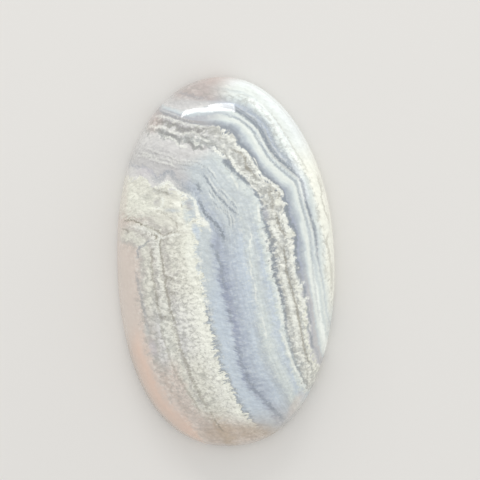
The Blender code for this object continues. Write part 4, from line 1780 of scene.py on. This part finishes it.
@dataclass
class Cabochon:
    """The stone: one closed piece, dense enough to carry its bands as fields."""

    shape: GroundShape
    growth: GrowthMap
    finish: PolishedChalcedony
    cage_segments: int = 80
    cage_shares: tuple[float, ...] = (0.985, 0.945, 0.88, 0.79)
    cage_cuts: int = 7
    rim_samples: int = 2880
    rim_overlap: int = 4
    same_level_mm: float = 0.001
    sharp_deg: float = 30.0
    piece: bpy.types.Object | None = field(default=None, init=False)

    def build(self) -> bpy.types.Object:
        """Models the stone, gives it its bands and its polish, and ties it to the frame.

        Returns:
            The finished piece.
        """
        self.model_cage()
        self.settle_on_ground_shape()
        self.write_fields()
        self.piece.data.materials.append(self.finish.build())
        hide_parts("cabochon")
        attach(self.piece, "root")
        log.info("%s: %d vertices", self.piece.name, len(self.piece.data.vertices))
        return self.piece

    def read_corners(self) -> np.ndarray:
        """Reads the piece's corners.

        Returns:
            Their places in millimetres, one to a row.
        """
        corners = np.empty(len(self.piece.data.vertices) * 3)
        self.piece.data.vertices.foreach_get("co", corners)
        return corners.reshape(-1, 3) / MM

    def place_corners(self, across: np.ndarray, height: np.ndarray) -> None:
        """Moves the piece's corners.

        Args:
            across: Their places in the plane of the back, in millimetres, one to a row.
            height: Their heights in millimetres.
        """
        places = np.column_stack([across, height]) * MM
        self.piece.data.vertices.foreach_set("co", places.ravel())
        self.piece.data.update()

    def model_cage(self) -> None:
        """Models the stone from a circle, by extruding its rings up the dome and down the wall."""
        shape = self.shape
        bpy.ops.object.select_all(action="DESELECT")
        bpy.ops.mesh.primitive_circle_add(vertices=self.cage_segments, radius=1.0, fill_type="NOTHING")
        self.piece = bpy.context.object
        self.piece.name = "polished_cabochon"
        self.piece.data.name = "polished_cabochon"
        circle = self.read_corners()
        ring = shape.ring(np.arctan2(circle[:, 1], circle[:, 0]), shape.wall_inset)
        self.place_corners(ring, np.full(len(ring), shape.wall_top))
        bpy.ops.object.mode_set(mode="EDIT")
        bpy.ops.mesh.select_mode(type="VERT")
        bpy.ops.mesh.select_all(action="SELECT")
        last_share = 1.0
        last_height = shape.wall_top
        for share in self.cage_shares:
            height = float(shape.dome_height(np.array([share]))[0])
            self.extrude_ring(height - last_height, share / last_share)
            last_share = share
            last_height = height
        bpy.ops.mesh.fill_grid(span=self.cage_segments // 4)
        self.select_level(shape.wall_top)
        self.extrude_ring(shape.back_bevel - shape.wall_top, shape.girdle_scale)
        self.extrude_ring(-shape.back_bevel, shape.back_scale)
        bpy.ops.mesh.fill_grid(span=self.cage_segments // 4)
        bpy.ops.mesh.select_all(action="SELECT")
        bpy.ops.mesh.subdivide(number_cuts=self.cage_cuts, smoothness=0.0)
        bpy.ops.mesh.normals_make_consistent(inside=False)
        bpy.ops.object.mode_set(mode="OBJECT")

    def extrude_ring(self, rise_mm: float, scale: float) -> None:
        """Extrudes the chosen ring by a rise and scales it about the stone's axis."""
        bpy.ops.mesh.extrude_edges_move(TRANSFORM_OT_translate={"value": (0.0, 0.0, rise_mm * MM)})
        bpy.ops.transform.resize(value=(scale, scale, 1.0), center_override=(0.0, 0.0, 0.0))

    def select_level(self, height_mm: float) -> None:
        """Chooses the corners at one height.

        Args:
            height_mm: The height in millimetres.
        """
        bpy.ops.mesh.select_all(action="DESELECT")
        bpy.ops.object.mode_set(mode="OBJECT")
        for vertex in self.piece.data.vertices:
            vertex.select = abs(vertex.co.z / MM - height_mm) < self.same_level_mm
        bpy.ops.object.mode_set(mode="EDIT")

    def settle_on_ground_shape(self) -> None:
        """Moves every corner of the subdivided cage onto the ground outline, wall and dome."""
        shape = self.shape
        points = self.read_corners()
        level = points[:, 2]
        angle = np.arctan2(points[:, 1], points[:, 0])
        radius = np.hypot(points[:, 0], points[:, 1])
        steps = np.arange(-self.rim_overlap, self.rim_samples + self.rim_overlap)
        fine_turn = steps * math.tau / self.rim_samples
        rim = shape.ring(fine_turn, shape.wall_inset)
        rim_angle = np.unwrap(np.arctan2(rim[:, 1], rim[:, 0]))
        turn = np.interp(np.mod(angle - rim_angle[0], math.tau) + rim_angle[0], rim_angle, fine_turn)
        reach = reach_of_polygon(shape.ring(turns(self.cage_segments), shape.wall_inset), angle)
        wall_share = np.clip((level - shape.back_bevel) / (shape.wall_top - shape.back_bevel), 0.0, 1.0)
        bevel_share = np.clip(1.0 - level / shape.back_bevel, 0.0, 1.0)
        on_bevel = level < shape.back_bevel
        inset = np.where(on_bevel, shape.back_bevel * bevel_share, shape.wall_inset * wall_share)
        on_dome = level > shape.wall_top + self.same_level_mm
        on_back = level < self.same_level_mm
        share = np.ones(len(points))
        share[on_dome] = np.clip(radius[on_dome] / reach[on_dome], 0.0, 1.0)
        back_reach = reach[on_back] * (shape.girdle_scale * shape.back_scale)
        share[on_back] = np.clip(radius[on_back] / back_reach, 0.0, 1.0)
        height = np.where(on_dome, shape.dome_height(share), np.clip(level, 0.0, shape.wall_top))
        self.place_corners(shape.ring(turn, inset[:, None]) * share[:, None], height)
        bpy.ops.object.shade_smooth_by_angle(angle=math.radians(self.sharp_deg))

    def write_fields(self) -> None:
        """Keeps the growth fields on the mesh, where the material reads them."""
        attributes = self.piece.data.attributes
        for name, values in self.growth.fields(self.read_corners()).items():
            if values.ndim == 1:
                attributes.new(name, "FLOAT", "POINT").data.foreach_set("value", values)
            else:
                attributes.new(name, "FLOAT_COLOR", "POINT").data.foreach_set("color", values.ravel())


@dataclass(frozen=True)
class Softbox:
    """A soft rectangular light, placed by the direction that it lies in, as seen in the photograph."""

    name: str
    off_axis_deg: float
    toward_deg: float
    distance_mm: float
    size_mm: Point
    radiance: float
    spin_deg: float = 0.0
    yaw_deg: float = 0.0

    def build(self, view: PhotoView) -> bpy.types.Object:
        """Adds the light.

        Args:
            view: The view whose directions the light is placed by.

        Returns:
            The light's object.
        """
        right, up, back = (Vector(axis) for axis in view.axes())
        off_axis = math.radians(self.off_axis_deg)
        toward = math.radians(self.toward_deg)
        sideways = right * math.cos(toward) + up * math.sin(toward)
        aim = sideways * math.sin(off_axis) + back * math.cos(off_axis)
        data = bpy.data.lights.new(self.name, "AREA")
        data.shape = "RECTANGLE"
        data.size = self.size_mm[0] * MM
        data.size_y = self.size_mm[1] * MM
        data.energy = self.radiance * math.pi * data.size * data.size_y
        light = bpy.data.objects.new(self.name, data)
        across = back.cross(aim).normalized()
        upright = aim.cross(across)
        turn = Matrix((across, upright, aim)).transposed().to_4x4()
        spin = Matrix.Rotation(math.radians(self.spin_deg), 4, "Z")
        spin = spin @ Matrix.Rotation(math.radians(-self.yaw_deg), 4, "Y")
        light.matrix_world = Matrix.Translation(aim * self.distance_mm * MM) @ turn @ spin
        bpy.context.scene.collection.objects.link(light)
        log.info("light %s: %.0f by %.0f mm", self.name, *self.size_mm)
        return light


@dataclass
class Studio:
    """The pale floor and the soft light round the stone."""

    view: PhotoView
    floor_size: float = 3.0
    floor_tint: str = "#E4E2DE"
    floor_roughness: float = 0.9
    sky_tint: str = "#FFFFFF"
    sky_strength: float = 0.86
    lights: tuple[Softbox, ...] = (
        Softbox("left strip light", 65.1, 113.7, 400.0, (187.0, 32.5), 8.4, spin_deg=-33.6, yaw_deg=-16.0),
        Softbox("right strip light", 60.6, 91.0, 400.0, (138.0, 59.0), 9.0, spin_deg=2.5, yaw_deg=6.5),
        Softbox("low softbox", 84.0, 42.0, 500.0, (480.0, 160.0), 2.4),
    )

    def build(self) -> None:
        """Lays the floor, sets the sky and hangs the lights."""
        bpy.ops.object.select_all(action="DESELECT")
        bpy.ops.mesh.primitive_plane_add(size=self.floor_size, location=(0.0, 0.0, 0.0))
        floor = bpy.context.object
        floor.name = "floor"
        floor.data.materials.append(self.floor_finish())
        world = bpy.data.worlds.new("soft room")
        bpy.context.scene.world = world
        world.use_nodes = True
        background = world.node_tree.nodes["Background"]
        background.inputs["Color"].default_value = linear(self.sky_tint)
        background.inputs["Strength"].default_value = self.sky_strength
        for light in self.lights:
            light.build(self.view)
        bpy.context.scene.view_settings.view_transform = "Standard"

    def floor_finish(self) -> bpy.types.Material:
        """Makes matt card: pale and even, with no gloss.

        Returns:
            The floor's material.
        """
        material = bpy.data.materials.new("matt card")
        material.use_nodes = True
        sheet = NodeSheet(material.node_tree)
        finish = {"Base Color": linear(self.floor_tint), "Roughness": self.floor_roughness}
        sheet.add("OutputMaterial", {"Surface": sheet.add("BsdfPrincipled", finish, out="BSDF")})
        return material


def main() -> None:
    """Builds the stone, its studio and its camera in order."""
    logging.basicConfig(level=logging.INFO, format="%(name)s: %(message)s")
    view = PhotoView()
    view.add_camera()
    shape = GroundShape.from_frame()
    stone = Cabochon(shape, GrowthMap(shape, view), PolishedChalcedony()).build()
    log.info("built %s", stone.name)
    Studio(view).build()


if __name__ == "__main__":
    main()
